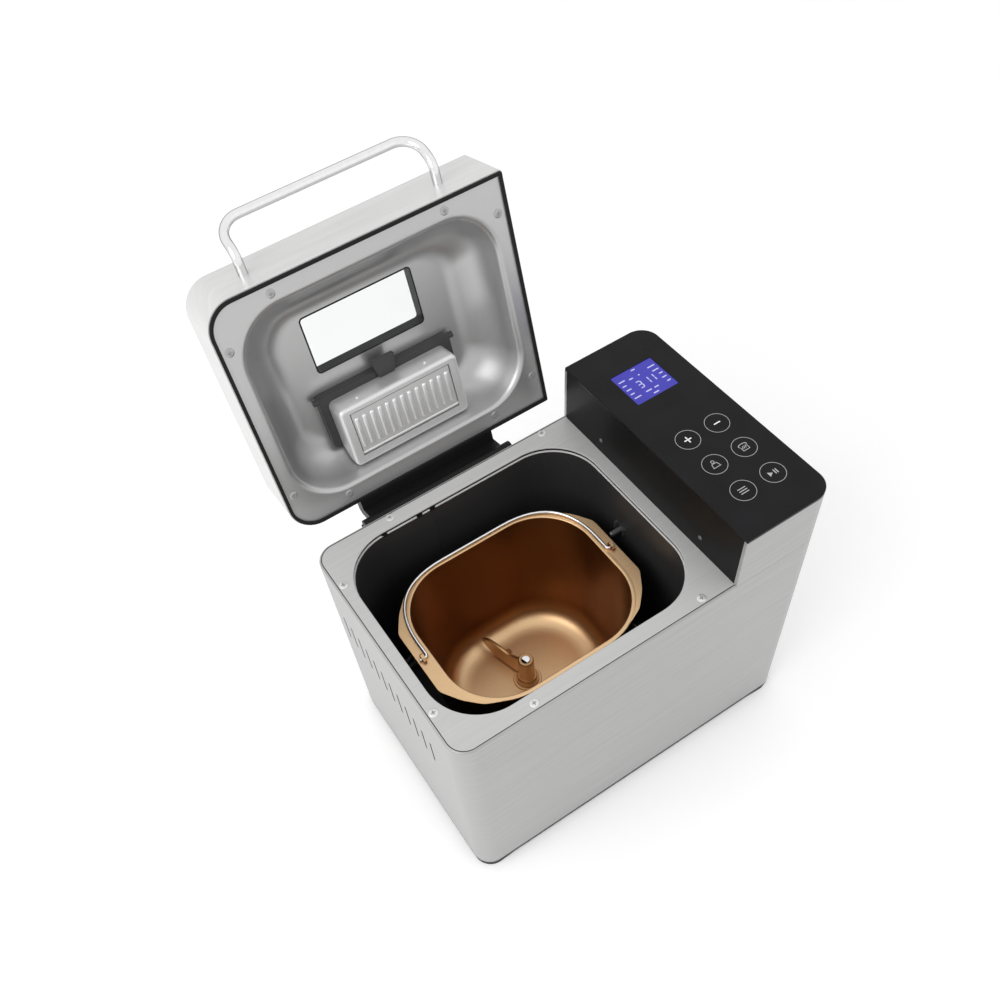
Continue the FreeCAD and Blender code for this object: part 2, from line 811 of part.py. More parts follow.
# Oven: chamber, heating element and its fittings, probe, pan seat.
def make_oven():
    chamber = new_body("oven_chamber")
    skin = "chamber_gap + chamber_gauge"
    block = pad(chamber, bridge_top, chamber_top, mouth_outline(skin))
    rounded = fillet(chamber, block, flat_edges(block.Shape, value(bridge_top)), "chamber_round")
    shelled(chamber, rounded, value(chamber_top), "chamber_gauge")
    pad(chamber, f"{chamber_top} - chamber_gauge", chamber_top, mouth_outline("chamber_flange"),
        mouth_outline("chamber_gap"))
    pocket(chamber, f"{bridge_top} - 1", f"{bridge_top} + chamber_gauge * 2",
           disc(axis_x, 0, "boss_dia / 2 + fit_gap"))
    wall = f"{mouth_right} + chamber_gap"
    sides = ("-element_half_gap", "element_half_gap")
    fittings = [disc(y, element_z, "insulator_dia / 2 + fit_gap") for y in sides]
    probe_z = f"({deck_top} - probe_drop)"
    fittings.append(disc("probe_y", probe_z, "probe_dia / 2 + fit_gap"))
    pocket(chamber, f"{wall} - 1", f"{wall} + chamber_gauge + 1", *fittings, plane="YZ_Plane")

    near, far = f"{mouth_front} + element_inset", f"{mouth_back} - element_inset"
    west, east = f"{mouth_left} + element_inset", f"{mouth_right} - element_inset"
    tail = f"{wall} + chamber_gauge * 9"
    gap = "element_half_gap"
    corners = [vector(x, y, element_z) for x, y in (
        (tail, gap), (east, gap), (east, far), (west, far), (west, near), (east, near), (east, f"-{gap}"),
        (tail, f"-{gap}"))]
    bend, turn = value("element_bend"), value("element_turn")
    element = bent_rod("heating_element", corners, [turn, bend, bend, bend, bend, turn], "element_dia")
    pieces.append(element)

    collars = []
    for side in sides:
        profile = [("element_dia / 2", "-chamber_gauge / 2"), ("insulator_dia / 2", "-chamber_gauge / 2"),
                   ("insulator_dia / 2", "chamber_gauge"), ("insulator_flange / 2", "chamber_gauge"),
                   ("insulator_flange / 2", "chamber_gauge * 4"), ("element_dia / 2", "chamber_gauge * 4")]
        collars.append(turned(profile, vector(wall, side, element_z), FreeCAD.Vector(1, 0, 0)))
    solid("element_insulators", Part.makeCompound(collars))

    clips = []
    half = value("element_dia * 0.6")
    for x, y in ((axis_x, near), (axis_x, far), (west, 0)):
        foot = vector(x, y, "chamber_floor")
        rise = value("element_rise - element_dia / 2")
        post = Part.makeBox(2 * half, 2 * half, rise, foot - FreeCAD.Vector(half, half, 0))
        clips.append(post)
    solid("element_clips", Part.makeCompound(clips))

    profile = [(0, "-probe_reach"), ("probe_dia * 0.3", "-probe_reach"),
               ("probe_dia / 2", "-probe_reach + probe_nose"),
               ("probe_dia / 2", "chamber_gauge"), ("probe_dia", "chamber_gauge"),
               ("probe_dia", "chamber_gauge * 5"), (0, "chamber_gauge * 5")]
    solid("temperature_probe", turned(profile, vector(wall, "probe_y", probe_z), FreeCAD.Vector(1, 0, 0)))

    seat = on_axis(new_body("pan_seat"))
    inner = "collar_dia / 2 + fit_gap"
    ledge = "collar_dia / 2 - collar_wall - 1"
    revolve(seat, 0, [(ledge, "chamber_floor"), (f"{inner} + seat_width", "chamber_floor"),
                      (f"{inner} + seat_width", "chamber_floor + seat_height - 2"),
                      (f"{inner} + seat_width - 2", "chamber_floor + seat_height"),
                      (f"{inner} + 1", "chamber_floor + seat_height"),
                      (inner, "chamber_floor + seat_height - 1"), (inner, pan_foot), (ledge, pan_foot)])


def on_axis(body):
    # Puts a turned piece on the drive axis.
    body.setExpression("Placement.Base.x", bound(axis_x))
    return body


# Drive: bridge, bearing, shaft, pulleys, belt, motor and its mounts.
def make_drive():
    bridge = new_body("chamber_support")
    x0, x1 = f"{axis_x} - bridge_length / 2", f"{axis_x} + bridge_length / 2"
    low = f"{bridge_top} - bridge_gauge"
    pad(bridge, low, bridge_top, outline(x0, x1, "-bridge_depth / 2", "bridge_depth / 2", "leg_size"),
        disc(axis_x, 0, "boss_dia / 2 + fit_gap"))
    legs = []
    for a, b in ((x0, f"{x0} + leg_size * 2"), (f"{x1} - leg_size * 2", x1)):
        legs.append(outline(a, b, "-bridge_depth / 2", "-bridge_depth / 2 + leg_size * 2", "leg_size * 0.9"))
        legs.append(outline(a, b, "bridge_depth / 2 - leg_size * 2", "bridge_depth / 2", "leg_size * 0.9"))
    pad(bridge, tray_top, low, *legs)

    housing = on_axis(new_body("bearing_housing"))
    bore, boss = "bush_dia / 2", "boss_dia / 2"
    under = f"{low} - bearing_flange_thick"
    revolve(housing, 0, [(bore, bush_foot), (boss, bush_foot), (boss, under), ("bearing_flange / 2", under),
                         ("bearing_flange / 2", low), (boss, low), (boss, bush_top), (bore, bush_top)])

    start = vector(axis_x, 0, bush_foot)
    lift = FreeCAD.Vector(0, 0, value("bush_length"))
    inner = "shaft_dia / 2 + run_gap"
    top = vector(axis_x, 0, bush_top)
    bushes = [ring("bush_dia / 2", inner, start, start + lift), ring("bush_dia / 2", inner, top - lift, top)]
    solid("shaft_bushes", Part.makeCompound(bushes))

    cylinder("drive_shaft", "shaft_dia / 2", axis_x, 0, "pulley_floor - 2", f"{dog_root} - fit_gap")

    pulley("large_pulley", axis_x, 0, "pulley_radius", "shaft_dia / 2", "pulley_hub / 2",
           f"{bush_foot} - fit_gap")
    pulley("motor_pulley", motor_x, motor_y, "motor_pulley_radius", "motor_shaft_dia / 2",
           "motor_pulley_radius * 0.7", f"{pulley_top} + 2")
    cylinder("motor_shaft", "motor_shaft_dia / 2", motor_x, motor_y, "pulley_floor - 1.5",
             f"{motor_foot} + motor_height / 4")

    make_belt()

    lower = on_axis(new_body("lower_coupling"))
    pad(lower, coupling_foot, dog_root, disc(0, 0, "coupling_dia / 2"))
    dogs = [outline(a, b, "-dog_width / 2", "dog_width / 2", "fit_gap * 4")
            for a, b in (("dog_inner", "dog_outer"), ("-dog_outer", "-dog_inner"))]
    pad(lower, dog_root, f"{dog_root} + dog_height", *dogs)
    pocket(lower, f"{coupling_foot} - 1", f"{dog_root} - fit_gap", disc(0, 0, "shaft_dia / 2"))

    motor = new_body("motor_body")
    pad(motor, motor_foot, f"{motor_foot} + motor_height", disc(motor_x, motor_y, "motor_dia / 2"))
    pocket(motor, f"{motor_foot} - 1", f"{motor_foot} + motor_height / 4 + 1",
           disc(motor_x, motor_y, "motor_shaft_dia / 2 + run_gap"))
    crown = f"{motor_foot} + motor_height"
    fillet(motor, motor.Tip, flat_edges(motor.Shape, value(crown)), "screw_head")

    bracket = new_body("motor_bracket")
    bx0, bx1 = f"{motor_x} - bracket_length / 2", f"{motor_x} + bracket_length / 2"
    by0, by1 = f"{motor_y} - bracket_depth / 2", f"{motor_y} + bracket_depth / 2"
    plate_low = "motor_deck - bracket_gauge"
    pad(bracket, plate_low, "motor_deck", outline(bx0, bx1, by0, by1, "leg_size"),
        disc(motor_x, motor_y, "motor_pulley_radius * 2"))
    feet = []
    for a, b in ((bx0, f"{bx0} + leg_size * 1.5"), (f"{bx1} - leg_size * 1.5", bx1)):
        feet.append(outline(a, b, by0, f"{by0} + leg_size * 1.5", "leg_size * 0.6"))
        feet.append(outline(a, b, f"{by1} - leg_size * 1.5", by1, "leg_size * 0.6"))
    pad(bracket, tray_top, plate_low, *feet)

    mounts = []
    for dx in ("-mount_pitch / 2", "mount_pitch / 2"):
        for dy in ("-mount_pitch / 2", "mount_pitch / 2"):
            foot = vector(f"{motor_x} + ({dx})", f"{motor_y} + ({dy})", "motor_deck")
            mounts.append(rod("mount_dia / 2", foot, foot + FreeCAD.Vector(0, 0, value("mount_height"))))
    solid("motor_mounts", Part.makeCompound(mounts))

    board = new_body("power_board")
    board_x, board_y = f"{right} - board_inset", f"{front} + board_front"
    bx0, bx1 = f"{board_x} - board_length / 2", f"{board_x} + board_length / 2"
    by0, by1 = f"{board_y} - board_depth / 2", f"{board_y} + board_depth / 2"
    level = f"{tray_top} + board_rise"
    pad(board, level, f"{level} + board_thick", outline(bx0, bx1, by0, by1, "board_thick"))
    upper = f"{level} + board_thick"
    block = outline(f"{bx0} + leg_size", f"{bx0} + leg_size * 4", f"{by0} + leg_size",
                    f"{by0} + leg_size * 4", "board_thick")
    canister = disc(f"{bx1} - leg_size * 2", f"{by1} - leg_size * 2", "leg_size")
    pad(board, f"{upper} - board_thick / 2", f"{upper} + part_height", block, canister)
    posts = []
    for x in (f"{bx0} + screw_head", f"{bx1} - screw_head"):
        for y in (f"{by0} + screw_head", f"{by1} - screw_head"):
            posts.append(rod("screw_head / 2", vector(x, y, tray_top), vector(x, y, level)))
    solid("board_posts", Part.makeCompound(posts))


def cylinder(label, radius, x, y, low, high):
    shape = doc.addObject("Part::Cylinder", label)
    shape.Label = label
    shape.setExpression("Radius", bound(radius))
    shape.setExpression("Height", bound(f"{high} - ({low})"))
    shape.setExpression("Placement.Base.x", bound(x))
    shape.setExpression("Placement.Base.y", bound(y))
    shape.setExpression("Placement.Base.z", bound(low))
    doc.recompute()
    pieces.append(shape)
    return shape


def pulley(label, x, y, radius, bore, hub, hub_top):
    # A flanged pulley; the belt runs in the groove with room above and below.
    body = new_body(label)
    body.setExpression("Placement.Base.x", bound(x))
    body.setExpression("Placement.Base.y", bound(y))
    lip = f"{radius} + pulley_lip"
    groove = "pulley_floor + pulley_flange"
    crest = f"{pulley_top} - pulley_flange"
    revolve(body, 0, [(bore, "pulley_floor"), (lip, "pulley_floor"), (lip, groove), (radius, groove),
                      (radius, crest), (lip, crest), (lip, pulley_top), (hub, pulley_top), (hub, hub_top),
                      (bore, hub_top)])
    return body


def make_belt():
    # The belt is the skin of two discs joined by their common tangents.
    near = vector(axis_x, 0, 0)
    far = vector(motor_x, motor_y, 0)
    way = far - near
    low = value("pulley_floor + pulley_flange + fit_gap")

    def loop(grow):
        r1, r2 = value(f"pulley_radius + {grow}"), value(f"motor_pulley_radius + {grow}")
        lean = math.acos((r1 - r2) / way.Length)
        heading = math.atan2(way.y, way.x)
        spot = lambda centre, r, angle: centre + FreeCAD.Vector(r * math.cos(angle), r * math.sin(angle), low)
        up, down = heading + lean, heading - lean
        rear = spot(near, r1, heading + math.pi)
        edges = [Part.Arc(spot(near, r1, up), rear, spot(near, r1, down)).toShape(),
                 Part.LineSegment(spot(near, r1, down), spot(far, r2, down)).toShape(),
                 Part.Arc(spot(far, r2, down), spot(far, r2, heading), spot(far, r2, up)).toShape(),
                 Part.LineSegment(spot(far, r2, up), spot(near, r1, up)).toShape()]
        return Part.Face(Part.Wire(edges))

    section = loop("fit_gap + belt_thick").cut(loop("fit_gap"))
    solid("drive_belt", section.extrude(FreeCAD.Vector(0, 0, value("belt_width"))))


# Pan: bread pan with its ears and foot collar, bearing, seal, shaft, coupling, bail and paddle.
def pan_ear(side, low):
    # A chamfered ear at one end of the rim with the lug that takes the bail.
    x = lambda text: value(axis_x) + side * value(text)
    half, cut = value("ear_half"), value("ear_chamfer")
    root, neck, tip = x("pan_length / 2 - pan_rim_width / 2"), x(f"{ear_reach} - ear_chamfer"), x(ear_reach)
    corners = [(root, -half), (neck, -half), (tip, cut - half), (tip, half - cut), (neck, half), (root, half)]
    spots = [FreeCAD.Vector(a, b, value(low)) for a, b in corners]
    ear = Part.Face(Part.makePolygon(spots + spots[:1])).extrude(FreeCAD.Vector(0, 0, value("pan_rim_thick")))
    inner = x(f"{ear_reach} - lug_inset - lug_thick / 2")
    wide, top = value("lug_width / 2"), value(f"{pan_rim} + lug_rise")
    foot = value(low) + 1
    outline_yz = [(-wide, foot), (wide, foot), (wide, top - wide / 2), (wide / 2, top), (-wide / 2, top),
                  (-wide, top - wide / 2)]
    spots = [FreeCAD.Vector(inner, b, c) for b, c in outline_yz]
    through = FreeCAD.Vector(side * value("lug_thick"), 0, 0)
    lug = Part.Face(Part.makePolygon(spots + spots[:1])).extrude(through)
    return ear.fuse(lug)


def make_pan():
    wall_run = "pan_floor_draft"
    fold = "pan_radius - pan_rim_width - wall_gap"
    inner = "pan_rim_width"
    profile = [(0, pan_rim, "pan_rim_thick / 3"), (0, f"{pan_rim} - pan_rim_thick", "pan_rim_thick / 3"),
               ("pan_rim_width - pan_wall", f"{pan_rim} - pan_rim_thick", 0),
               (f"pan_rim_width - pan_wall + {wall_run}", pan_under, "pan_floor_round + pan_wall"),
               (fold, pan_under, 0), (fold, "pan_floor_rise", 0),
               (f"{inner} + {wall_run}", "pan_floor_rise", "pan_floor_round"),
               (inner, pan_rim, "pan_rim_thick / 3")]
    x0, x1 = f"{axis_x} - pan_length / 2", f"{axis_x} + pan_length / 2"
    y0, y1 = "-pan_depth / 2", "pan_depth / 2"
    shape = moulded(x0, x1, y0, y1, "pan_radius", profile)
    lap = f"({fold} - 1)"
    shape = shape.fuse(prism(f"{x0} + {lap}", f"{x1} - {lap}", f"{y0} + {lap}", f"{y1} - {lap}", pan_under,
                             "pan_floor_rise"))
    low = f"{pan_rim} - pan_rim_thick"
    for side in (-1, 1):
        shape = shape.fuse(pan_ear(side, low))
    hole = rod("bail_dia / 2 + run_gap", vector(f"{axis_x} - {ear_reach}", 0, f"{pan_rim} + bail_rise"),
               vector(f"{axis_x} + {ear_reach}", 0, f"{pan_rim} + bail_rise"))
    joint = f"{pan_under} + pan_wall / 4"
    top = vector(axis_x, 0, joint)
    collar = ring("collar_dia / 2", "collar_dia / 2 - collar_wall", vector(axis_x, 0, pan_foot), top)
    boss = rod("pan_boss_dia / 2", vector(axis_x, 0, f"{pan_under} - pan_boss_length"), top)
    bore = rod("bush_dia / 2", vector(axis_x, 0, pan_foot), vector(axis_x, 0, pan_rim))
    shape = shape.fuse(collar).fuse(boss).cut(hole).cut(bore)
    solid("bread_pan", shape.removeSplitter())

    foot = f"{pan_under} - pan_boss_length"
    inner = "shaft_dia / 2 + run_gap"
    bearing = on_axis(new_body("pan_bearing"))
    outer = "bush_dia / 2"
    revolve(bearing, 0, [(inner, foot), (outer, foot), (outer, pan_under), (inner, pan_under)])
    seal = on_axis(new_body("shaft_seal"))
    crown = "pan_floor_rise + seal_thick"
    revolve(seal, 0, [(inner, pan_under), (outer, pan_under), (outer, "pan_floor_rise"),
                      ("seal_dia / 2 - 0.5", "pan_floor_rise"), ("seal_dia / 2 - 1", crown), (inner, crown)])

    upper = on_axis(new_body("upper_coupling"))
    top = f"{upper_root} + coupling_plate"
    pad(upper, upper_root, top, disc(0, 0, "coupling_dia / 2"))
    dogs = [outline("-dog_width / 2", "dog_width / 2", a, b, "fit_gap * 4")
            for a, b in (("dog_inner", "dog_outer"), ("-dog_outer", "-dog_inner"))]
    pad(upper, upper_tip, upper_root, *dogs)
    pocket(upper, f"{upper_root} - 1", f"{top} + 1", disc(0, 0, "shaft_dia / 2"))
    hub_top = "(pan_floor_rise + paddle_gap + paddle_height)"
    low = "(pan_floor_rise + paddle_gap)"
    facing = bound("rotation(vector(0; 0; 1); 90 + paddle_angle)")
    shaft = on_axis(new_body("pan_shaft"))
    tip, half = f"{hub_top} + shaft_tip", "shaft_dia / 2"
    pad(shaft, upper_root, tip, disc(0, 0, half))
    # The paddle is driven by a flat on the shaft above the pan's floor.
    beyond = polygon(("-shaft_dia", "shaft_flat"), ("shaft_dia", "shaft_flat"), ("shaft_dia", "shaft_dia"),
                     ("-shaft_dia", "shaft_dia"))
    pocket(shaft, f"{low} - fit_gap", f"{tip} + 1", beyond)
    shaft.setExpression("Placement.Rotation", facing)

    paddle = on_axis(new_body("kneading_paddle"))
    bore = "shaft_dia / 2 + run_gap"
    collar, hub = "paddle_collar / 2", "paddle_hub / 2"
    revolve(paddle, 0, [(bore, low), (collar, low), (collar, f"{low} + collar_rise"),
                        (hub, f"{low} + collar_crest"), (hub, f"{hub_top} - hub_bevel"),
                        (f"{hub} - hub_bevel", hub_top), (bore, hub_top)])
    flat = "shaft_flat + run_gap"
    pad(paddle, low, hub_top, polygon((f"-({bore})", flat), (bore, flat), (bore, bore), (f"-({bore})", bore)))
    root = "paddle_hub / 2 - 2"
    blade = polygon((root, f"{low} + blade_gap"), ("paddle_reach * 0.72", f"{low} + blade_gap"),
                    ("paddle_reach", f"{low} + blade_nose"), ("paddle_reach", f"{low} + blade_tip"),
                    ("paddle_reach * 0.86", f"{low} + blade_crest - blade_gap"),
                    ("paddle_reach * 0.6", f"{low} + blade_crest"),
                    ("paddle_reach * 0.36", f"{low} + blade_saddle"),
                    (root, f"{low} + blade_root"))
    pad(paddle, "-paddle_thick / 2", "paddle_thick / 2", blade, plane="XZ_Plane")
    paddle.setExpression("Placement.Rotation", facing)

    make_bail()


def make_bail():
    # The bail's ends run through the lugs along one line and lie folded to the back.
    arm = value(f"{ear_reach} - lug_inset - lug_thick / 2 - bail_bend")
    tip = value(f"{ear_reach} - lug_inset + lug_thick / 2 + bail_tip")
    middle = vector(axis_x, 0, f"{pan_rim} + bail_rise")
    reach = value("bail_reach")
    spots = [(-tip, 0), (-arm, 0), (-arm, reach), (arm, reach), (arm, 0), (tip, 0)]
    corners = [middle + FreeCAD.Vector(x, y, 0) for x, y in spots]
    bend, corner = value("bail_bend"), value("bail_corner")
    bail = bent_rod("pan_handle", corners, [bend, corner, corner, bend], "bail_dia")
    pieces.append(bail)


# Control box: steel wrap, black housing, touch glass, display and touch board.
def control_outline(inset, lean):
    return outline(f"{control_left} + {lean} + {inset}", f"{right} - ({inset})", f"{front} + {inset}",
                   f"{back} - ({inset})", "fit_gap * 2", f"corner_radius - ({inset})")


def make_control():
    wrap = new_body("control_wrap")
    skin = "sheet_gauge"
    glass_foot = f"({control_top} - glass_thick)"
    lean = "(control_draft * (control_height - glass_thick) / control_height)"
    loft(wrap, "AdditiveLoft", (deck_top, control_outline(0, 0)), (glass_foot, control_outline(0, lean)))
    loft(wrap, "SubtractiveLoft", (deck_top, control_outline(skin, 0)),
         (glass_foot, control_outline(skin, lean)))
    gap = outline(f"{front} + wrap_return", f"{back} - wrap_return", f"{deck_top} - 1", f"{glass_foot} + 1",
                  "fit_gap")
    pocket(wrap, f"{control_left} - 1", f"{control_left} + control_draft + {skin} + 1", gap, plane="YZ_Plane")

    housing = new_body("control_housing")
    wall = polygon((control_left, deck_top), (f"{control_left} + wall_thick", deck_top),
                   (f"{control_left} + wall_thick + {lean}", glass_foot),
                   (f"{control_left} + {lean}", glass_foot))
    span = f"{back} - wrap_return - fit_gap"
    pad(housing, f"-({span})", span, wall, plane="XZ_Plane")
    inset = "sheet_gauge + fit_gap"
    floor_top = f"({deck_top} + wall_thick)"
    pad(housing, deck_top, floor_top, outline(f"{control_left} + wall_thick / 2", f"{right} - ({inset})",
        f"-({span})", span, "fit_gap * 2", f"corner_radius - ({inset})"))
    rail = f"{right} - ({inset}) - rail_width"
    pad(housing, f"{floor_top} - wall_thick / 2", glass_foot,
        outline(rail, f"{right} - ({inset})", f"{front} + corner_radius", f"{back} - corner_radius",
                "wall_thick"))
    board_foot = f"({glass_foot} - touch_drop - board_thick)"
    shelf = f"{control_left} + control_draft + wall_thick + rail_width"
    posts = [disc(x, y, "rail_width") for x in (f"{shelf} + rail_width", f"{rail} - rail_width * 2")
             for y in (f"{front} + wiring_inset", f"{back} - wiring_inset")]
    pad(housing, f"{floor_top} - wall_thick / 2", board_foot, *posts)
    screw_z = f"({deck_top} + housing_screw_rise)"
    holes = [disc(y, screw_z, "screw_shank / 2 + screw_gap") for y in screw_sides()]
    pocket(housing, f"{control_left} - 1", f"{control_left} + wall_thick + control_draft", *holes,
           plane="YZ_Plane")

    slope = math.atan2(value("control_draft"), value("control_height"))
    inward = FreeCAD.Vector(math.cos(slope), 0, -math.sin(slope))
    lean_here = "control_draft * housing_screw_rise / control_height"
    heads = [screw(vector(f"{control_left} + {lean_here}", y, screw_z), inward) for y in screw_sides()]
    solid("housing_screws", Part.makeCompound(heads))

    glass = new_body("control_glass")
    window = outline(*lcd_span("fit_gap"), "fit_gap * 4")
    west = f"{control_left} + control_draft"
    face = outline(west, right, front, back, "glass_bevel * 2.4", "corner_radius")
    slab = pad(glass, glass_foot, control_top, face, window)
    edge = flat_edges(slab.Shape, value(control_top), lambda e: not inside_display(e))
    bevel = glass.newObject("PartDesign::Chamfer", "glass_bevel_edge")
    bevel.Base = (slab, edge)
    bevel.setExpression("Size", bound("glass_bevel"))
    doc.recompute()

    board = new_body("touch_board")
    board_top = f"{glass_foot} - touch_drop"
    pad(board, board_foot, board_top, outline(shelf, f"{rail} - wall_thick", f"{front} + corner_radius",
        f"{back} - corner_radius", "wall_thick"))
    display = new_body("lcd_module")
    pad(display, board_top, f"{control_top} - lcd_sink", outline(*lcd_span(0), "fit_gap * 3"))


def inside_display(edge):
    # True for an edge of the display's cut-out.
    span = [value(e) for e in lcd_span("fit_gap * 2")]
    middle = edge.valueAt((edge.FirstParameter + edge.LastParameter) / 2)
    return span[0] < middle.x < span[1] and span[2] < middle.y < span[3]


def screw_sides():
    return ("housing_screw_shift - housing_screw_side", "housing_screw_shift + housing_screw_side")


def lcd_span(grow):
    west = f"{control_left} + control_draft + lcd_left"
    south = f"{front} + lcd_front"
    north = f"{south} + lcd_depth"
    return (f"{west} - {grow}", f"{west} + lcd_width + {grow}", f"{south} - {grow}", f"{north} + {grow}")


# Lid: drawn shut, then turned open about the hinge pin.
def lid_outline(inset, hand=None):
    small = "lid_corner" if hand is None else hand
    return outline(f"{left} + {inset}", f"{lid_right} - ({inset})", f"{lid_front} + {inset}",
                   f"{lid_back} - ({inset})", f"lid_radius - ({inset})", small)


def window_outline(grow):
    west = f"{lid_middle} + window_shift - window_width / 2"
    north = f"{lid_back} - window_back"
    return outline(f"{west} - ({grow})", f"{west} + window_width + {grow}",
                   f"{north} - window_depth - ({grow})", f"{north} + {grow}", f"window_radius + {grow}")


def liner_screw_places():
    corner = f"{left} + liner_screw_corner", f"{lid_right} - liner_screw_corner"
    rows = f"{lid_front} + liner_screw_front", f"{lid_back} - liner_screw_back"
    west, east = f"{left} + liner_screw_west", f"{lid_right} - liner_screw_east"
    places = [(x, y) for x in corner for y in rows]
    places += [(west, f"{lid_front} + liner_screw_end"), (west, f"{lid_back} - liner_screw_end")]
    places += [(east, f"{lid_front} + liner_screw_near"), (east, f"{lid_back} - liner_screw_near")]
    return places


def make_lid():
    holes = [disc(x, y, "screw_shank / 2 + screw_gap") for x, y in liner_screw_places()]
    shell = new_body("lid_shell")
    pad(shell, lid_seat, lid_top, lid_outline(0))
    knee = f"({lid_base} + lid_slope_rise)"
    over, beyond = f"({lid_top} + 5)", f"({lid_back} + 5)"
    crest = f"({lid_back} - lid_slope_run)"
    slope = polygon((lid_back, knee), (beyond, knee), (beyond, over), (crest, over), (crest, lid_top))
    wedge = pocket(shell, f"{left} - 1", f"{lid_right} + 1", slope, plane="YZ_Plane")
    fillet(shell, wedge, flat_edges(wedge.Shape, value(lid_top)), "lid_edge_round")
    skin = "sheet_gauge"
    inside = lambda slant: outline(f"{left} + {skin}", f"{lid_right} - {skin}", f"{lid_front} + {skin}",
                                   f"{lid_back} - {skin} - ({slant})", f"lid_radius - {skin}", "lid_corner")
    pocket(shell, f"{lid_seat} - 1", knee, inside(0))
    loft(shell, "SubtractiveLoft", (knee, inside(0)), (f"{lid_top} - sheet_gauge", inside("lid_slope_run")))
    seat = f"({lid_seat} + liner_gauge)"
    pad(shell, seat, f"{seat} + lid_flange_thick", lid_outline("sheet_gauge", "lid_corner"),
        outline(f"{left} + lid_flange_side", f"{lid_right} - lid_flange_side", f"{lid_front} + lid_flange",
                f"{lid_back} - lid_flange", "lid_radius - lid_flange_side", "lid_corner"), *holes)
    pocket(shell, f"{lid_top} - sheet_gauge * 2", f"{lid_top} + 1", window_outline("pane_ledge + pane_gap"))
    grips = [disc(x, f"{lid_base} + handle_rise", "handle_screw / 2 + screw_gap") for x in handle_sides()]
    pocket(shell, f"-({lid_front}) - sheet_gauge * 2", f"-({lid_front}) + 1", *grips, plane="XZ_Plane")

    gasket = new_body("lid_gasket")
    pad(gasket, lid_base, lid_seat, lid_outline("gasket_inset", "lid_corner / 2"),
        lid_outline("gasket_inset + gasket_width", "lid_corner / 2"))

    x0, x1 = f"{left} + dish_margin", f"{lid_right} - dish_margin"
    y0, y1 = f"{lid_front} + dish_front", f"{lid_back} - dish_back"
    flange = f"({lid_seat} + liner_gauge)"
    fold = "dish_radius - wall_gap"
    crown = f"({dish_floor} + liner_gauge)"
    profile = [("-wall_gap / 2", lid_seat, 0), (0, lid_seat, "dish_lip_round + liner_gauge"),
               ("dish_draft", dish_floor, "dish_floor_round"), (fold, dish_floor, 0), (fold, crown, 0),
               ("dish_draft - liner_gauge", crown, "dish_floor_round + liner_gauge"),
               ("-liner_gauge", flange, "dish_lip_round"), ("-wall_gap / 2", flange, 0)]
    dish = moulded(x0, x1, y0, y1, "dish_radius", profile)
    lap = f"({fold} - 1)"
    floor = prism(f"{x0} + {lap}", f"{x1} - {lap}", f"{y0} + {lap}", f"{y1} - {lap}", dish_floor, crown)
    dish = dish.fuse(floor)
    grow = "wall_gap / 2 - liner_gauge"
    plate = doc.addObject("PartDesign::Body", "liner_plate")
    pad(plate, lid_seat, flange, lid_outline("liner_inset", "lid_corner"),
        outline(f"{x0} - ({grow})", f"{x1} + {grow}", f"{y0} - ({grow})", f"{y1} + {grow}",
                f"dish_radius + {grow}"), *holes)
    hole = doc.addObject("PartDesign::Body", "liner_window")
    pad(hole, f"{dish_floor} - 1", f"{crown} + 1", window_outline("window_wall + pane_gap"))
    solid("lid_liner", dish.fuse(plate.Shape).cut(hole.Shape).removeSplitter())

    up = FreeCAD.Vector(0, 0, 1)
    heads = [screw(vector(x, y, lid_seat), up) for x, y in liner_screw_places()]
    solid("liner_screws", Part.makeCompound(heads))

    frame = new_body("window_frame")
    pad(frame, f"{dish_floor} - window_lip", pane_foot, window_outline("window_wall"), window_outline(0))
    pad(frame, f"{pane_foot} - window_wall * 2", pane_foot, window_outline("pane_rim"), window_outline(0))
    pad(frame, f"{pane_foot} - window_wall", f"{lid_top} - sheet_gauge", window_outline("pane_rim"),
        window_outline("pane_ledge + pane_gap"))
    pane = new_body("window_glass")
    pad(pane, pane_foot, lid_top, window_outline("pane_ledge"))


def handle_sides():
    west = f"{lid_middle} + handle_shift - handle_span / 2"
    return (west, f"{west} + handle_span")


def make_handle():
    start, level = value(lid_front), value(f"{lid_base} + handle_rise")
    leg, out, rise = value("handle_leg"), value("handle_out"), value("handle_up")
    a, b = (value(x) for x in handle_sides())
    side = [(start, level), (start - leg, level), (start - out, level + rise)]
    corners = [FreeCAD.Vector(a, y, z) for y, z in side]
    corners += [FreeCAD.Vector(b, y, z) for y, z in reversed(side)]
    bend, corner = value("handle_bend"), value("handle_corner")
    bar = bent_rod("handle_bar", corners, [bend, corner, corner, bend], "handle_dia")
    depth = FreeCAD.Vector(0, value("-screw_length * 2"), 0)
    inner = FreeCAD.Vector(0, value("sheet_gauge"), 0)
    drill = doc.addObject("Part::Feature", "handle_holes")
    drill.Shape = Part.makeCompound([rod("handle_screw / 2 + screw_gap", c + inner, c + depth + inner)
                                     for c in (corners[0], corners[-1])])
    handle = doc.addObject("Part::Cut", "lid_handle")
    handle.Base = bar
    handle.Tool = drill
    doc.recompute()
    pieces.append(handle)
    forward = FreeCAD.Vector(0, -1, 0)
    heads = [screw(c + inner, forward, "handle_screw * 2", "handle_screw", "screw_length * 2 - 1")
             for c in (corners[0], corners[-1])]
    solid("handle_screws", Part.makeCompound(heads))


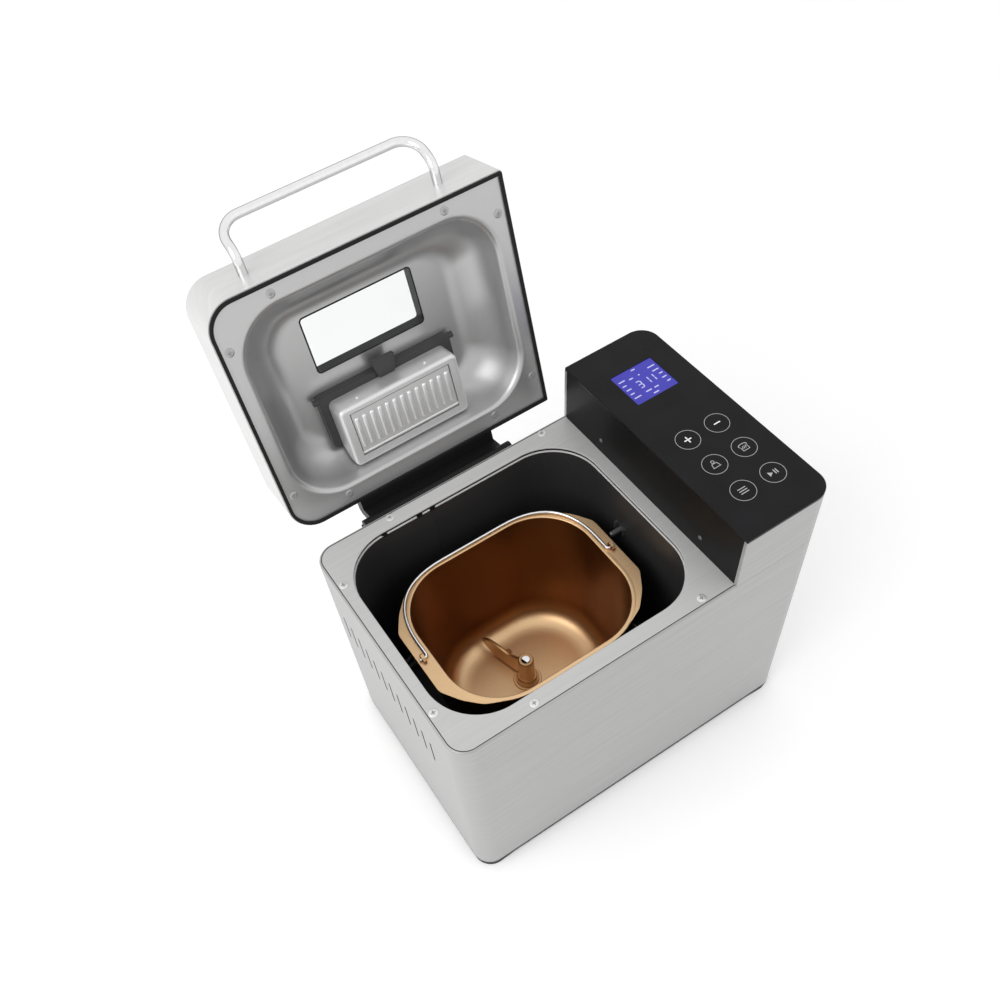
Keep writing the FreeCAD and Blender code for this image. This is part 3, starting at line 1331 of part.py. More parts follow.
# Hinge: fixed knuckles and stop on the casing's back, pin, and the arm that carries the lid.
def make_hinge():
    base = new_body("hinge_base")
    plate = f"({pivot_z} - knuckle_radius - stop_gap)"
    foot = f"({plate} - hinge_drop)"
    screws = [disc(x, z, "screw_shank / 2 + screw_gap") for x, z in hinge_screw_places()]
    pad(base, f"-({back}) - hinge_plate", f"-({back})",
        outline(hinge_x0, hinge_x1, foot, plate, "hinge_plate"), *screws, plane="XZ_Plane")
    pad(base, f"-({back}) - stop_reach", f"-({back}) - hinge_plate / 2",
        outline(hinge_x0, hinge_x1, f"{plate} - stop_thick", plate, "fit_gap"), plane="XZ_Plane")
    knuckles = ((hinge_x0, f"{hinge_x0} + knuckle_length"), (f"{hinge_x1} - knuckle_length", hinge_x1))
    for a, b in knuckles:
        under, rear = f"{plate} - stop_thick / 2", f"{pivot_y} + knuckle_radius * 0.9"
        block = polygon((back, under), (rear, under), (rear, pivot_z), (back, pivot_z))
        pad(base, a, b, block, plane="YZ_Plane")
        pad(base, a, b, disc(pivot_y, pivot_z, "knuckle_radius"), plane="YZ_Plane")
        pocket(base, f"{a} - 1", f"{b} + 1", disc(pivot_y, pivot_z, "pin_dia / 2"), plane="YZ_Plane")

    pin = doc.addObject("Part::Cylinder", "hinge_pin")
    pin.setExpression("Radius", bound("pin_dia / 2"))
    pin.setExpression("Height", bound("hinge_length"))
    pin.setExpression("Placement", bound(f"placement(vector({hinge_x0}; {pivot_y}; {pivot_z});"
                                         " rotation(vector(0; 1; 0); 90))"))
    doc.recompute()
    pieces.append(pin)

    rear = vector(0, f"{back} + hinge_plate", 0)
    heads = [screw(rear + vector(x, 0, z), FreeCAD.Vector(0, -1, 0)) for x, z in hinge_screw_places()]
    solid("hinge_screws", Part.makeCompound(heads))

    arm = new_body("hinge_arm")
    a, b = f"{hinge_x0} + knuckle_length + fit_gap", f"{hinge_x1} - knuckle_length - fit_gap"
    near, far = f"{pivot_y} - arm_half", f"{pivot_y} + arm_half"
    low, high = f"{pivot_z} + arm_low", f"{pivot_z} + arm_high"
    neck = polygon((near, pivot_z), (far, pivot_z), (far, f"{high} - arm_bevel"),
                   (f"{far} - arm_bevel", high), (lid_back, high), (lid_back, low), (near, low))
    pad(arm, a, b, neck, plane="YZ_Plane")
    pad(arm, a, b, disc(pivot_y, pivot_z, "knuckle_radius"), plane="YZ_Plane")
    pocket(arm, f"{a} - 1", f"{b} + 1", disc(pivot_y, pivot_z, "pin_dia / 2 + run_gap"), plane="YZ_Plane")


def hinge_screw_places():
    level = f"{pivot_z} - knuckle_radius - stop_thick - hinge_screw_drop"
    return [(f"{hinge_x0} + hinge_screw_in", level), (f"{hinge_x1} - hinge_screw_in", level)]


# Dispenser under the lid: mount, box, flap with its pin, and slide latch.
def make_dispenser():
    mount = new_body("dispenser_mount")
    west, east = f"{lid_middle} - mount_width / 2", f"{lid_middle} + mount_width / 2"
    north, south = f"{lid_back} - mount_back", f"{lid_back} - mount_front"
    pad(mount, mount_foot, dish_floor, outline(west, east, south, north, "mount_radius"))
    ear_y, ear_z = f"{south} + mount_ear", f"{mount_foot} + mount_ear"
    pad(mount, f"{west} - mount_ear * 1.5", f"{east} + mount_ear * 1.5", disc(ear_y, ear_z, "mount_ear"),
        plane="YZ_Plane")
    middle = lid_middle
    pocket(mount, f"{mount_foot} - 1", f"{mount_foot} + hopper_rise",
           outline(f"{west} + hopper_margin", f"{east} - hopper_margin", f"{lid_back} - box_front + box_wall",
                   f"{north} - box_wall * 2", "mount_radius"))
    stem = f"({lid_back} - box_front - latch_stem)"
    slot = outline(f"{middle} - latch_stem_width / 2 - fit_gap", f"{middle} + latch_stem_width / 2 + fit_gap",
                   f"{stem} - latch_stem - latch_travel - fit_gap", f"{stem} + fit_gap", "fit_gap")
    pocket(mount, f"{mount_foot} - 1", f"{mount_foot} + latch_seat", slot)

    box = new_body("dispenser_box")
    x0, x1 = f"{middle} - box_width / 2", f"{middle} + box_width / 2"
    y0, y1 = f"{lid_back} - box_front", f"{lid_back} - box_back"
    wall = "box_wall"
    block = pad(box, box_face_z, mount_foot, outline(x0, x1, y0, y1, "box_radius"))
    knee, over = f"{box_face_z} + box_round + box_wall", f"{mount_foot} + 1"
    slope = polygon((f"{y1} + 1", knee), (f"{y1} + 1", over), (f"{y1} - box_taper", over),
                    (f"{y1} - box_taper", mount_foot), (y1, knee))
    block = pocket(box, f"{x0} - 1", f"{x1} + 1", slope, plane="YZ_Plane")
    fillet(box, block, flat_edges(block.Shape, value(box_face_z)), "box_round")
    inside = lambda slant: outline(f"{x0} + {wall}", f"{x1} - {wall}", f"{y0} + {wall}",
                                   f"{y1} - {wall} - ({slant})", f"box_radius - {wall}")
    loft(box, "SubtractiveLoft", (f"{box_face_z} + {wall}", inside(0)), (mount_foot, inside("box_taper")))
    fx0, fx1 = f"{middle} - flap_width / 2", f"{middle} + flap_width / 2"
    fy0, fy1 = f"{lid_back} - flap_front", f"{lid_back} - flap_back"
    pocket(box, f"{box_face_z} - 1", f"{box_face_z} + {wall} + 1", outline(fx0, fx1, fy0, fy1, "fit_gap"))
    pin_y = f"({fy1} - flap_barrel - flap_gap)"
    pin_z = f"({box_face_z} + flap_barrel + fit_gap / 3)"
    ends = (f"{fx0} - flap_ear", f"{fx0} - fit_gap"), (f"{fx1} + fit_gap", f"{fx1} + flap_ear")
    ears = [outline(a, b, f"{pin_y} - flap_barrel", f"{pin_y} + flap_barrel + flap_gap + 1", "fit_gap")
            for a, b in ends]
    pad(box, f"{box_face_z} + {wall} / 2", f"{pin_z} + flap_barrel", *ears)
    pocket(box, f"{fx0} - flap_ear - 1", f"{fx1} + flap_ear + 1",
           disc(pin_y, pin_z, "flap_pin / 2 + run_gap"), plane="YZ_Plane")

    flap = new_body("dispenser_flap")
    face = f"({box_face_z} + flap_sink)"
    gx0, gx1 = f"{fx0} + flap_gap", f"{fx1} - flap_gap"
    pad(flap, face, f"{face} + flap_thick", outline(gx0, gx1, f"{fy0} + flap_gap", pin_y, "fit_gap"))
    pad(flap, gx0, gx1, disc(pin_y, pin_z, "flap_barrel"), plane="YZ_Plane")
    first = f"{gx0} + flap_width / rib_count / 2"
    rib = outline(f"{first} - rib_width / 2", f"{first} + rib_width / 2", f"{fy0} + rib_end",
                  f"{fy1} - rib_end", "rib_width * 0.45")
    ridge = pad(flap, f"{face} - rib_height", f"{face} + flap_thick / 2", rib)
    row = flap.newObject("PartDesign::LinearPattern", "rib_row")
    row.Originals = [ridge]
    row.Direction = ([f for f in flap.Origin.OriginFeatures if f.Role == "X_Axis"][0], [""])
    row.setExpression("Length", bound("flap_width * (rib_count - 1) / rib_count - flap_gap * 2"))
    row.setExpression("Occurrences", bound("rib_count"))
    flap.Tip = row
    doc.recompute()
    pocket(flap, f"{fx0} - 1", f"{fx1} + 1", disc(pin_y, pin_z, "flap_pin / 2"), plane="YZ_Plane")
    ends = [vector(x, pin_y, pin_z) for x in (f"{fx0} - flap_ear + fit_gap", f"{fx1} + flap_ear - fit_gap")]
    solid("flap_pin", rod("flap_pin / 2", *ends))

    latch = new_body("dispenser_latch")
    tab_top = f"({mount_foot} - fit_gap)"
    tab = outline(f"{middle} - latch_width / 2", f"{middle} + latch_width / 2", f"{y0} - latch_length",
                  f"{y0} - fit_gap", "latch_round")
    slab = pad(latch, f"{tab_top} - latch_thick", tab_top, tab)
    fillet(latch, slab, flat_edges(slab.Shape, value(f"{tab_top} - latch_thick")), "latch_thick * 0.3")
    half = "latch_stem_width / 2"
    foot = outline(f"{middle} - {half}", f"{middle} + {half}", f"{stem} - latch_stem", stem, "fit_gap")
    pad(latch, f"{tab_top} - latch_thick / 2", f"{mount_foot} + latch_seat - fit_gap / 2", foot)


# Strain relief for the cord at the back.
def make_gland():
    bore, lip = "gland_bore / 2", "gland_flange / 2"
    profile = [(bore, "-gland_lip"), (f"{lip} - 1", "-gland_lip"), (lip, "-gland_lip + 1"), (lip, 0),
               ("gland_dia / 2", 0), ("gland_dia / 2", "sheet_gauge * 4"), (bore, "sheet_gauge * 4")]
    spot = vector(f"{right} - gland_inset", back, "gland_z")
    solid("cord_gland", turned(profile, spot, FreeCAD.Vector(0, -1, 0)))


make_base()
make_casing()
make_deck()
make_oven()
make_drive()
make_pan()
make_control()
shut = len(pieces)
make_lid()
make_handle()
make_dispenser()
turning = pieces[shut:]
fixed = len(pieces)
make_hinge()
make_gland()
turning += [piece for piece in pieces[fixed:] if piece.Label == "hinge_arm"]
for piece in turning:
    piece.setExpression("Placement", bound("placement(vector(0; 0; 0); rotation(vector(1; 0; 0); -lid_angle);"
                                           f" vector(0; {pivot_y}; {pivot_z}))"))
doc.recompute()

# Every piece must be sound before it is written out.
for item in doc.Objects:
    if "Invalid" in item.State or "Error" in item.State:
        raise RuntimeError(f"{item.Label} failed: {item.State}")
for piece in pieces:
    if piece.Shape.isNull() or not piece.Shape.isValid() or not piece.Shape.Solids:
        raise RuntimeError(f"{piece.Label} has no sound shape")

# The files' origin lies on the table under the middle of the whole machine, lid open.
rear = max(piece.Shape.optimalBoundingBox().YMax for piece in turning)
middle = (rear + value(front)) / 2
os.makedirs("parts", exist_ok=True)
for piece in pieces:
    shape = piece.Shape.copy()
    shape.translate(FreeCAD.Vector(0, -middle, 0))
    shape.exportStep(f"parts/{piece.Label}.step")
print(len(pieces), "pieces, middle at", round(middle, 3))
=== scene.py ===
import math
import bmesh
import bpy
from mathutils import Euler, Matrix, Vector


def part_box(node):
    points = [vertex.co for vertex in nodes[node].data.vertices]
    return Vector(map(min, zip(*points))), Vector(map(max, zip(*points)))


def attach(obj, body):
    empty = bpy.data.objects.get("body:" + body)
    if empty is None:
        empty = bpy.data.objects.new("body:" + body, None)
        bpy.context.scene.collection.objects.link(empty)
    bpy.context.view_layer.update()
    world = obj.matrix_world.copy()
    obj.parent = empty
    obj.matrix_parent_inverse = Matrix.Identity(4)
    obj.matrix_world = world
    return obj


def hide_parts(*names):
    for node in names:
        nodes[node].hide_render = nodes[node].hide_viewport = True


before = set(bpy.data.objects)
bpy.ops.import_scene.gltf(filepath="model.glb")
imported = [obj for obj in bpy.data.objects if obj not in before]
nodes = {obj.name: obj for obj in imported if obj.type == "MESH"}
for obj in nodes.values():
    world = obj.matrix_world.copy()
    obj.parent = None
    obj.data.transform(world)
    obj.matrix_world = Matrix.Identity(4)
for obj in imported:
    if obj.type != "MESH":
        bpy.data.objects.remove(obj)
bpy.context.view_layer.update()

mm = 0.001   # sizes in the dictionaries are millimetres, the studio's and the camera's are metres
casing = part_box("outer_casing")
bodyMiddle = (casing[0] + casing[1]) / 2

print("bread machine: frame loaded,", len(nodes), "nodes")


# shader helpers

def newMaterial(name):
    mat = bpy.data.materials.new(name)
    mat.use_nodes = True
    tree = mat.node_tree
    shader = tree.nodes["Principled BSDF"]
    return mat, tree, shader


def stretchedNoise(tree, stretch, scale, detail=4.0):
    # noise over the object's own metres, drawn out along one axis
    coords = tree.nodes.new("ShaderNodeTexCoord")
    mapping = tree.nodes.new("ShaderNodeMapping")
    mapping.inputs["Scale"].default_value = stretch
    noise = tree.nodes.new("ShaderNodeTexNoise")
    noise.inputs["Scale"].default_value = scale
    noise.inputs["Detail"].default_value = detail
    tree.links.new(coords.outputs["Object"], mapping.inputs["Vector"])
    tree.links.new(mapping.outputs["Vector"], noise.inputs["Vector"])
    return noise


def ramp(tree, source, stops):
    node = tree.nodes.new("ShaderNodeValToRGB")
    elements = node.color_ramp.elements
    while len(elements) < len(stops):
        elements.new(0.5)
    for element, (place, colour) in zip(elements, stops):
        element.position = place
        element.color = (*colour, 1.0)
    tree.links.new(source, node.inputs["Fac"])
    return node


def shade(colour, factor):
    return tuple(min(1.0, c * factor) for c in colour)


def bumpFrom(tree, shader, source, strength, depth):
    bump = tree.nodes.new("ShaderNodeBump")
    bump.inputs["Strength"].default_value = strength
    bump.inputs["Distance"].default_value = depth
    tree.links.new(source, bump.inputs["Height"])
    tree.links.new(bump.outputs["Normal"], shader.inputs["Normal"])


def roughnessFrom(tree, shader, source, low, high):
    spread = tree.nodes.new("ShaderNodeMapRange")
    spread.inputs["To Min"].default_value = low
    spread.inputs["To Max"].default_value = high
    tree.links.new(source, spread.inputs["Value"])
    tree.links.new(spread.outputs["Result"], shader.inputs["Roughness"])


def surface(name, colour, vary, scale, stretch, rough, metallic=0.0,
            bump=0.0, depth=0.0002, detail=4.0, gloss=0.5):
    # colour, roughness and bump all follow one noise
    mat, tree, shader = newMaterial(name)
    noise = stretchedNoise(tree, stretch, scale, detail)
    darker, lighter = shade(colour, 1 - vary), shade(colour, 1 + vary)
    tones = ramp(tree, noise.outputs["Fac"], [(0.25, darker), (0.75, lighter)])
    tree.links.new(tones.outputs["Color"], shader.inputs["Base Color"])
    roughnessFrom(tree, shader, noise.outputs["Fac"], *rough)
    shader.inputs["Metallic"].default_value = metallic
    shader.inputs["Specular IOR Level"].default_value = gloss
    if bump:
        bumpFrom(tree, shader, noise.outputs["Fac"], bump, depth)
    return mat


def paint(material, *names):
    for name in names:
        slots = nodes[name].data.materials
        slots.clear()
        slots.append(material)


# finishes: colour, how much it varies, grain scale and stretch, roughness range, metallic

level = (1, 1, 40)   # brushing lines that stay level on the upright faces
alongX = (1, 40, 40)   # brushing lines that run across the deck
even = (1, 1, 1)

caseSteel = surface("brushedCaseSteel", (0.405, 0.405, 0.402), 0.11, 11, level, (0.30, 0.46), 0.4,
                    bump=0.15, depth=0.00006, detail=7)
# painted light: the lid's shell is the same steel as the casing, in a lighter copy because its band faces up
# into the light when the lid is open
lidSteelLitCopy = surface("brushedSteelLitForLid", (0.68, 0.68, 0.675), 0.07, 11, level, (0.32, 0.46), 0.4,
                   bump=0.12, depth=0.00005, detail=7)
deckSteel = surface("brushedDeckSteel", (0.53, 0.53, 0.525), 0.05, 11, alongX, (0.40, 0.52), 0.05,
                    bump=0.12, depth=0.00005, detail=7)
linerMetal = surface("linerAluminium", (0.53, 0.53, 0.53), 0.03, 900, even, (0.30, 0.38), 0.8)
ovenEnamel = surface("ovenEnamel", (0.031, 0.031, 0.032), 0.25, 700, even, (0.36, 0.48),
                     bump=0.06, depth=0.0001)
paddleCoating = surface("paddleCoating", (0.60, 0.36, 0.17), 0.10, 1300, even, (0.28, 0.40), 0.9,
                        bump=0.1, depth=0.0001)
screwSteel = surface("screwSteel", (0.74, 0.74, 0.74), 0.06, 400, even, (0.25, 0.35), 0.5)
linerScrewSteel = surface("linerScrewSteel", (0.42, 0.42, 0.42), 0.06, 400, even, (0.28, 0.38), 0.6)
# painted shade: a darker grey for the screws' cross recesses, standing in for the shade inside them
screwRecessShade = surface("screwRecessShade", (0.36, 0.36, 0.36), 0.2, 400, even, (0.5, 0.6), 0.2)
clipMetal = surface("clipMetal", (0.16, 0.16, 0.16), 0.1, 400, even, (0.35, 0.45), 0.6)
# near-white and almost matt; on the oven chamber's rim this colour is a painted highlight
brightMetal = surface("brightMetal", (0.90, 0.90, 0.90), 0.04, 300, even, (0.30, 0.40), 0.1)
blackPlastic = surface("blackPlastic", (0.008, 0.008, 0.008), 0.3, 1500, even, (0.40, 0.5),
                       bump=0.12, depth=0.0001, gloss=0.25)
mountPlastic = surface("mountPlastic", (0.05, 0.05, 0.05), 0.2, 1500, even, (0.4, 0.5),
                       bump=0.12, depth=0.0001, gloss=0.3)
panelBlack = surface("panelBlack", (0.008, 0.008, 0.008), 0.25, 1800, even, (0.34, 0.42),
                     bump=0.05, depth=0.00005, gloss=0.12)
dispenserMetal = surface("dispenserSilver", (0.78, 0.78, 0.78), 0.04, 800, even, (0.3, 0.4), 0.55)
touchGlass = surface("touchGlass", (0.011, 0.011, 0.012), 0.2, 30, even, (0.24, 0.32), gloss=0.11)
sealRubber = surface("sealRubber", (0.010, 0.010, 0.010), 0.2, 900, even, (0.5, 0.65),
                     bump=0.1, depth=0.0001, gloss=0.2)
blackRubber = surface("blackRubber", (0.02, 0.02, 0.021), 0.25, 700, even, (0.6, 0.75), bump=0.2)
zincSheet = surface("zincSheet", (0.5, 0.51, 0.52), 0.12, 90, even, (0.3, 0.45), 0.9)
motorPaint = surface("motorPaint", (0.05, 0.05, 0.055), 0.2, 600, even, (0.45, 0.6))
bushBronze = surface("bushBronze", (0.55, 0.38, 0.18), 0.15, 1200, even, (0.35, 0.5), 0.9)
elementMetal = surface("elementMetal", (0.07, 0.066, 0.062), 0.3, 500, even, (0.4, 0.6), 0.6)
ceramic = surface("ceramic", (0.75, 0.73, 0.68), 0.05, 500, even, (0.5, 0.6))
boardLacquer = surface("boardLacquer", (0.02, 0.12, 0.05), 0.25, 400, even, (0.25, 0.4))
keyWhite = surface("keyWhite", (0.45, 0.45, 0.45), 0.05, 900, even, (0.4, 0.5))
boldWhite = surface("boldWhite", (0.92, 0.92, 0.92), 0.03, 900, even, (0.4, 0.5))


def polishedSteel():
    # a mirror finish whose reflection dims at a round bar's edges
    mat = surface("polishedSteel", (0.84, 0.84, 0.845), 0.04, 200, even, (0.07, 0.12), 1.0)
    shader = mat.node_tree.nodes["Principled BSDF"]
    shader.inputs["Specular Tint"].default_value = (0, 0, 0, 1)
    return mat


# painted light: steep, sloped and level are tones set by how level a face lies, from painted shade to painted
# highlight; the grain is the coat's own
panPaintedLightAndGrain = {"steep": (0.22, 0.078, 0.018), "sloped": (0.56, 0.30, 0.12), "level": (0.88, 0.60, 0.34),
              "grainScale": 1300, "grainDark": (0.88, 0.87, 0.86), "metallic": 0.9, "rough": (0.30, 0.42),
              "bump": 0.1, "depth": 0.0001}


def panCoatingWithPaintedLight():
    # painted light: the coat's colour follows how level each face lies, golden on level parts as a painted
    # highlight of the light from above and dark brown on the steep walls as painted shade, with a fine grain
    # over it
    mat, tree, shader = newMaterial("panCoatingPaintedLight")
    geometry = tree.nodes.new("ShaderNodeNewGeometry")
    parts = tree.nodes.new("ShaderNodeSeparateXYZ")
    tree.links.new(geometry.outputs["Normal"], parts.inputs["Vector"])
    tones = ramp(tree, parts.outputs["Z"], [(0.12, panPaintedLightAndGrain["steep"]), (0.45, panPaintedLightAndGrain["sloped"]),
                                           (0.92, panPaintedLightAndGrain["level"])])
    noise = stretchedNoise(tree, even, panPaintedLightAndGrain["grainScale"])
    grain = ramp(tree, noise.outputs["Fac"], [(0.3, panPaintedLightAndGrain["grainDark"]), (0.7, (1.0, 1.0, 1.0))])
    mix = tree.nodes.new("ShaderNodeMixRGB")
    mix.blend_type = "MULTIPLY"
    mix.inputs["Fac"].default_value = 1.0
    tree.links.new(tones.outputs["Color"], mix.inputs["Color1"])
    tree.links.new(grain.outputs["Color"], mix.inputs["Color2"])
    tree.links.new(mix.outputs["Color"], shader.inputs["Base Color"])
    shader.inputs["Metallic"].default_value = panPaintedLightAndGrain["metallic"]
    roughnessFrom(tree, shader, noise.outputs["Fac"], *panPaintedLightAndGrain["rough"])
    bumpFrom(tree, shader, noise.outputs["Fac"], panPaintedLightAndGrain["bump"], panPaintedLightAndGrain["depth"])
    return mat


paneTint = {"low": (0.87, 0.88, 0.88), "high": (0.89, 0.90, 0.90), "rough": (0.0, 0.02), "bending": 1.1}


def windowPaneGlass():
    mat, tree, shader = newMaterial("windowPane")
    noise = stretchedNoise(tree, even, 12)
    roughnessFrom(tree, shader, noise.outputs["Fac"], *paneTint["rough"])
    tones = ramp(tree, noise.outputs["Fac"], [(0.3, paneTint["low"]), (0.7, paneTint["high"])])
    tree.links.new(tones.outputs["Color"], shader.inputs["Base Color"])
    shader.inputs["Transmission Weight"].default_value = 1.0
    shader.inputs["IOR"].default_value = paneTint["bending"]
    return mat


def glowing(name, low, high, strength):
    # a lit surface with a faint unevenness
    mat, tree, shader = newMaterial(name)
    noise = stretchedNoise(tree, even, 25)
    tones = ramp(tree, noise.outputs["Fac"], [(0.3, low), (0.7, high)])
    tree.links.new(tones.outputs["Color"], shader.inputs["Base Color"])
    tree.links.new(tones.outputs["Color"], shader.inputs["Emission Color"])
    shader.inputs["Emission Strength"].default_value = strength
    shader.inputs["Specular IOR Level"].default_value = 0.15
    roughnessFrom(tree, shader, noise.outputs["Fac"], 0.25, 0.35)
    return mat


chrome = polishedSteel()
panCoatingPaintedLight = panCoatingWithPaintedLight()
windowPane = windowPaneGlass()
displayBlue = glowing("displayBlue", (0.034, 0.032, 0.235), (0.044, 0.041, 0.285), 0.8)
displayWhite = glowing("displayWhite", (0.34, 0.34, 0.54), (0.40, 0.40, 0.60), 0.6)

paint(caseSteel, "outer_casing", "control_wrap")
paint(lidSteelLitCopy, "lid_shell")
paint(deckSteel, "top_deck")
paint(linerMetal, "lid_liner")
paint(ovenEnamel, "oven_chamber", "pan_seat")
paint(panCoatingPaintedLight, "bread_pan")
paint(paddleCoating, "kneading_paddle")
paint(chrome, "lid_handle", "pan_handle", "deck_screws", "liner_screws", "housing_screws", "hinge_screws",
      "handle_screws", "hinge_pin", "flap_pin", "drive_shaft", "motor_shaft", "pan_shaft", "element_clips")
paint(blackPlastic, "base_tray", "deck_frame", "hinge_base", "hinge_arm", "window_frame", "cord_gland",
      "large_pulley", "motor_pulley")
paint(mountPlastic, "dispenser_mount", "dispenser_latch")
paint(panelBlack, "control_housing")
paint(dispenserMetal, "dispenser_box", "dispenser_flap")
paint(touchGlass, "control_glass")
paint(displayBlue, "lcd_module")
paint(windowPane, "window_glass")
paint(sealRubber, "lid_gasket", "shaft_seal")
paint(blackRubber, "rubber_feet", "motor_mounts", "drive_belt")
paint(zincSheet, "chamber_support", "motor_bracket", "bearing_housing", "board_posts", "lower_coupling",
      "upper_coupling")
paint(motorPaint, "motor_body")
paint(bushBronze, "shaft_bushes", "pan_bearing")
paint(elementMetal, "heating_element")
paint(clipMetal, "temperature_probe")
paint(ceramic, "element_insulators")
paint(boardLacquer, "power_board", "touch_board")

print("bread machine: finishes on")


# mesh helpers

sharpAngle = 38   # edges that turn more than this stay crisp


def makePiece(name, bm, material, body):
    bmesh.ops.recalc_face_normals(bm, faces=bm.faces[:])
    data = bpy.data.meshes.new(name)
    bm.to_mesh(data)
    bm.free()
    data.set_sharp_from_angle(angle=math.radians(sharpAngle))
    piece = bpy.data.objects.new(name, data)
    bpy.context.collection.objects.link(piece)
    data.materials.append(material)
    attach(piece, body)
    return piece


def asDrawn(x, y, z):
    return (x, y, z)


def skin(bm, loops):
    for a, b in zip(loops, loops[1:]):
        for i in range(len(a)):
            j = (i + 1) % len(a)
            bm.faces.new((a[i], a[j], b[j], b[i])).smooth = True


def capped(bm, loops):
    # a skin through loops of vertices, closed at both ends
    skin(bm, loops)
    bm.faces.new(loops[0][::-1])
    bm.faces.new(loops[-1])


def loopsOf(bm, rings, place):
    return [[bm.verts.new(place(x, y, z)) for x, y in line] for line, z in rings]


def lofted(bm, rings, place=asDrawn):
    # a solid through rings of (outline, height)
    capped(bm, loopsOf(bm, rings, place))


def slab(bm, outline, low, high, place=asDrawn):
    # a flat shape with straight sides
    lofted(bm, [(outline, low), (outline, high)], place)


def wrapped(bm, rings, place=asDrawn):
    # a closed skin through rings, the last joined to the first
    loops = loopsOf(bm, rings, place)
    skin(bm, loops + loops[:1])


def band(bm, outer, inner, low, high, place=asDrawn):
    # a closed ring between two outlines with the same number of points
    wrapped(bm, [(outer, low), (outer, high), (inner, high), (inner, low)], place)


def rectangle(left, right, front, back):
    return [(left, front), (right, front), (right, back), (left, back)]


def roundedRing(low, high, radius, rightRadius=None, steps=16):
    # a rectangle with rounded corners as one loop of points; the right corners may have their own radius
    right = radius if rightRadius is None else rightRadius
    corners = ((high[0] - right, high[1] - right, right, 0), (low[0] + radius, high[1] - radius, radius, 90),
               (low[0] + radius, low[1] + radius, radius, 180), (high[0] - right, low[1] + right, right, 270))
    points = []
    for x, y, r, start in corners:
        for i in range(steps + 1):
            t = math.radians(start + 90 * i / steps)
            points.append((x + r * math.cos(t), y + r * math.sin(t)))
    return points


def softLine(corners, steps=8):
    # a line through (u, v, ease) corners, each rounded over its ease
    line = []
    for i, (u, v, ease) in enumerate(corners):
        here = Vector((u, v))
        if not ease:
            line.append(here)
            continue
        before = here + (Vector(corners[i - 1][:2]) - here).normalized() * ease
        after = here + (Vector(corners[i + 1][:2]) - here).normalized() * ease
        for k in range(steps + 1):
            t = k / steps
            line.append(before * (1 - t) ** 2 + here * 2 * t * (1 - t) + after * t ** 2)
    return line


def circle(x, y, radius, steps=48):
    turns = [2 * math.pi * i / steps for i in range(steps)]
    return [(x + radius * math.cos(t), y + radius * math.sin(t)) for t in turns]


def stroke(x, y, length, width, angle=0.0):
    # a bar with rounded ends
    half, r = (length - width) / 2, width / 2
    points = []
    for side, start in ((1, -90), (-1, 90)):
        for i in range(7):
            t = math.radians(start + 30 * i)
            points.append((side * half + r * math.cos(t), r * math.sin(t)))
    c, s = math.cos(math.radians(angle)), math.sin(math.radians(angle))
    return [(x + u * c - v * s, y + u * s + v * c) for u, v in points]


def solidGroups(name, reach):
    # the vertices of each separate solid in a node, gathered by how near they lie
    groups = []
    for vertex in nodes[name].data.vertices:
        point = vertex.co.copy()
        for group in groups:
            if (group[0] - point).length < reach:
                group.append(point)
                break
        else:
            groups.append([point])
    return groups


# touch keys: thin printed rings and plain signs on the panel's top

glassLow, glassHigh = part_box("control_glass")
touchKeys = {"columns": (31.8, 63.8), "rows": (112.7, 77.8, 42.3), "ring": 11.1, "line": 0.45, "ink": 0.08,
             "boldLine": 1.25, "plus": 7.6, "plusArm": 3.0, "plusStep": 2.3, "minus": 7.0}
keySigns = {"weightUp": 3.0, "weightRing": (1.7, 1.1),
            "weightOuter": ((-4.0, -3.8), (4.0, -3.8), (2.7, 1.2), (-2.7, 1.2)),
            "weightInner": ((-3.2, -3.2), (3.2, -3.2), (2.2, 0.6), (-2.2, 0.6)),
            "slice": ((-3.0, -3.4), (3.0, -3.4), (3.2, -3.0), (3.2, 0.6), (3.9, 1.4), (4.1, 2.3), (3.5, 3.3),
                      (2.4, 3.8), (0.0, 4.0), (-2.4, 3.8), (-3.5, 3.3), (-4.1, 2.3), (-3.9, 1.4), (-3.2, 0.6),
                      (-3.2, -3.0)),
            "sliceSizes": (1.1, 0.92), "cutStep": 1.6, "cut": (3.6, 0.6, 60),
            "lineStep": 2.5, "line": (8.4, 0.85),
            "start": ((-4.6, -2.6), (-0.4, 0.0), (-4.6, 2.6)), "pauseAt": (1.6, 3.8), "pause": (5.2, 1.1, 90)}


def keySpot(column, row):
    return (glassLow.x + touchKeys["columns"][column] * mm, glassLow.y + touchKeys["rows"][row] * mm)


def drawnAt(spot, shape, size=1.0):
    # a sign's outline set round a key's middle
    return [(spot[0] + u * size * mm, spot[1] + v * size * mm) for u, v in shape]


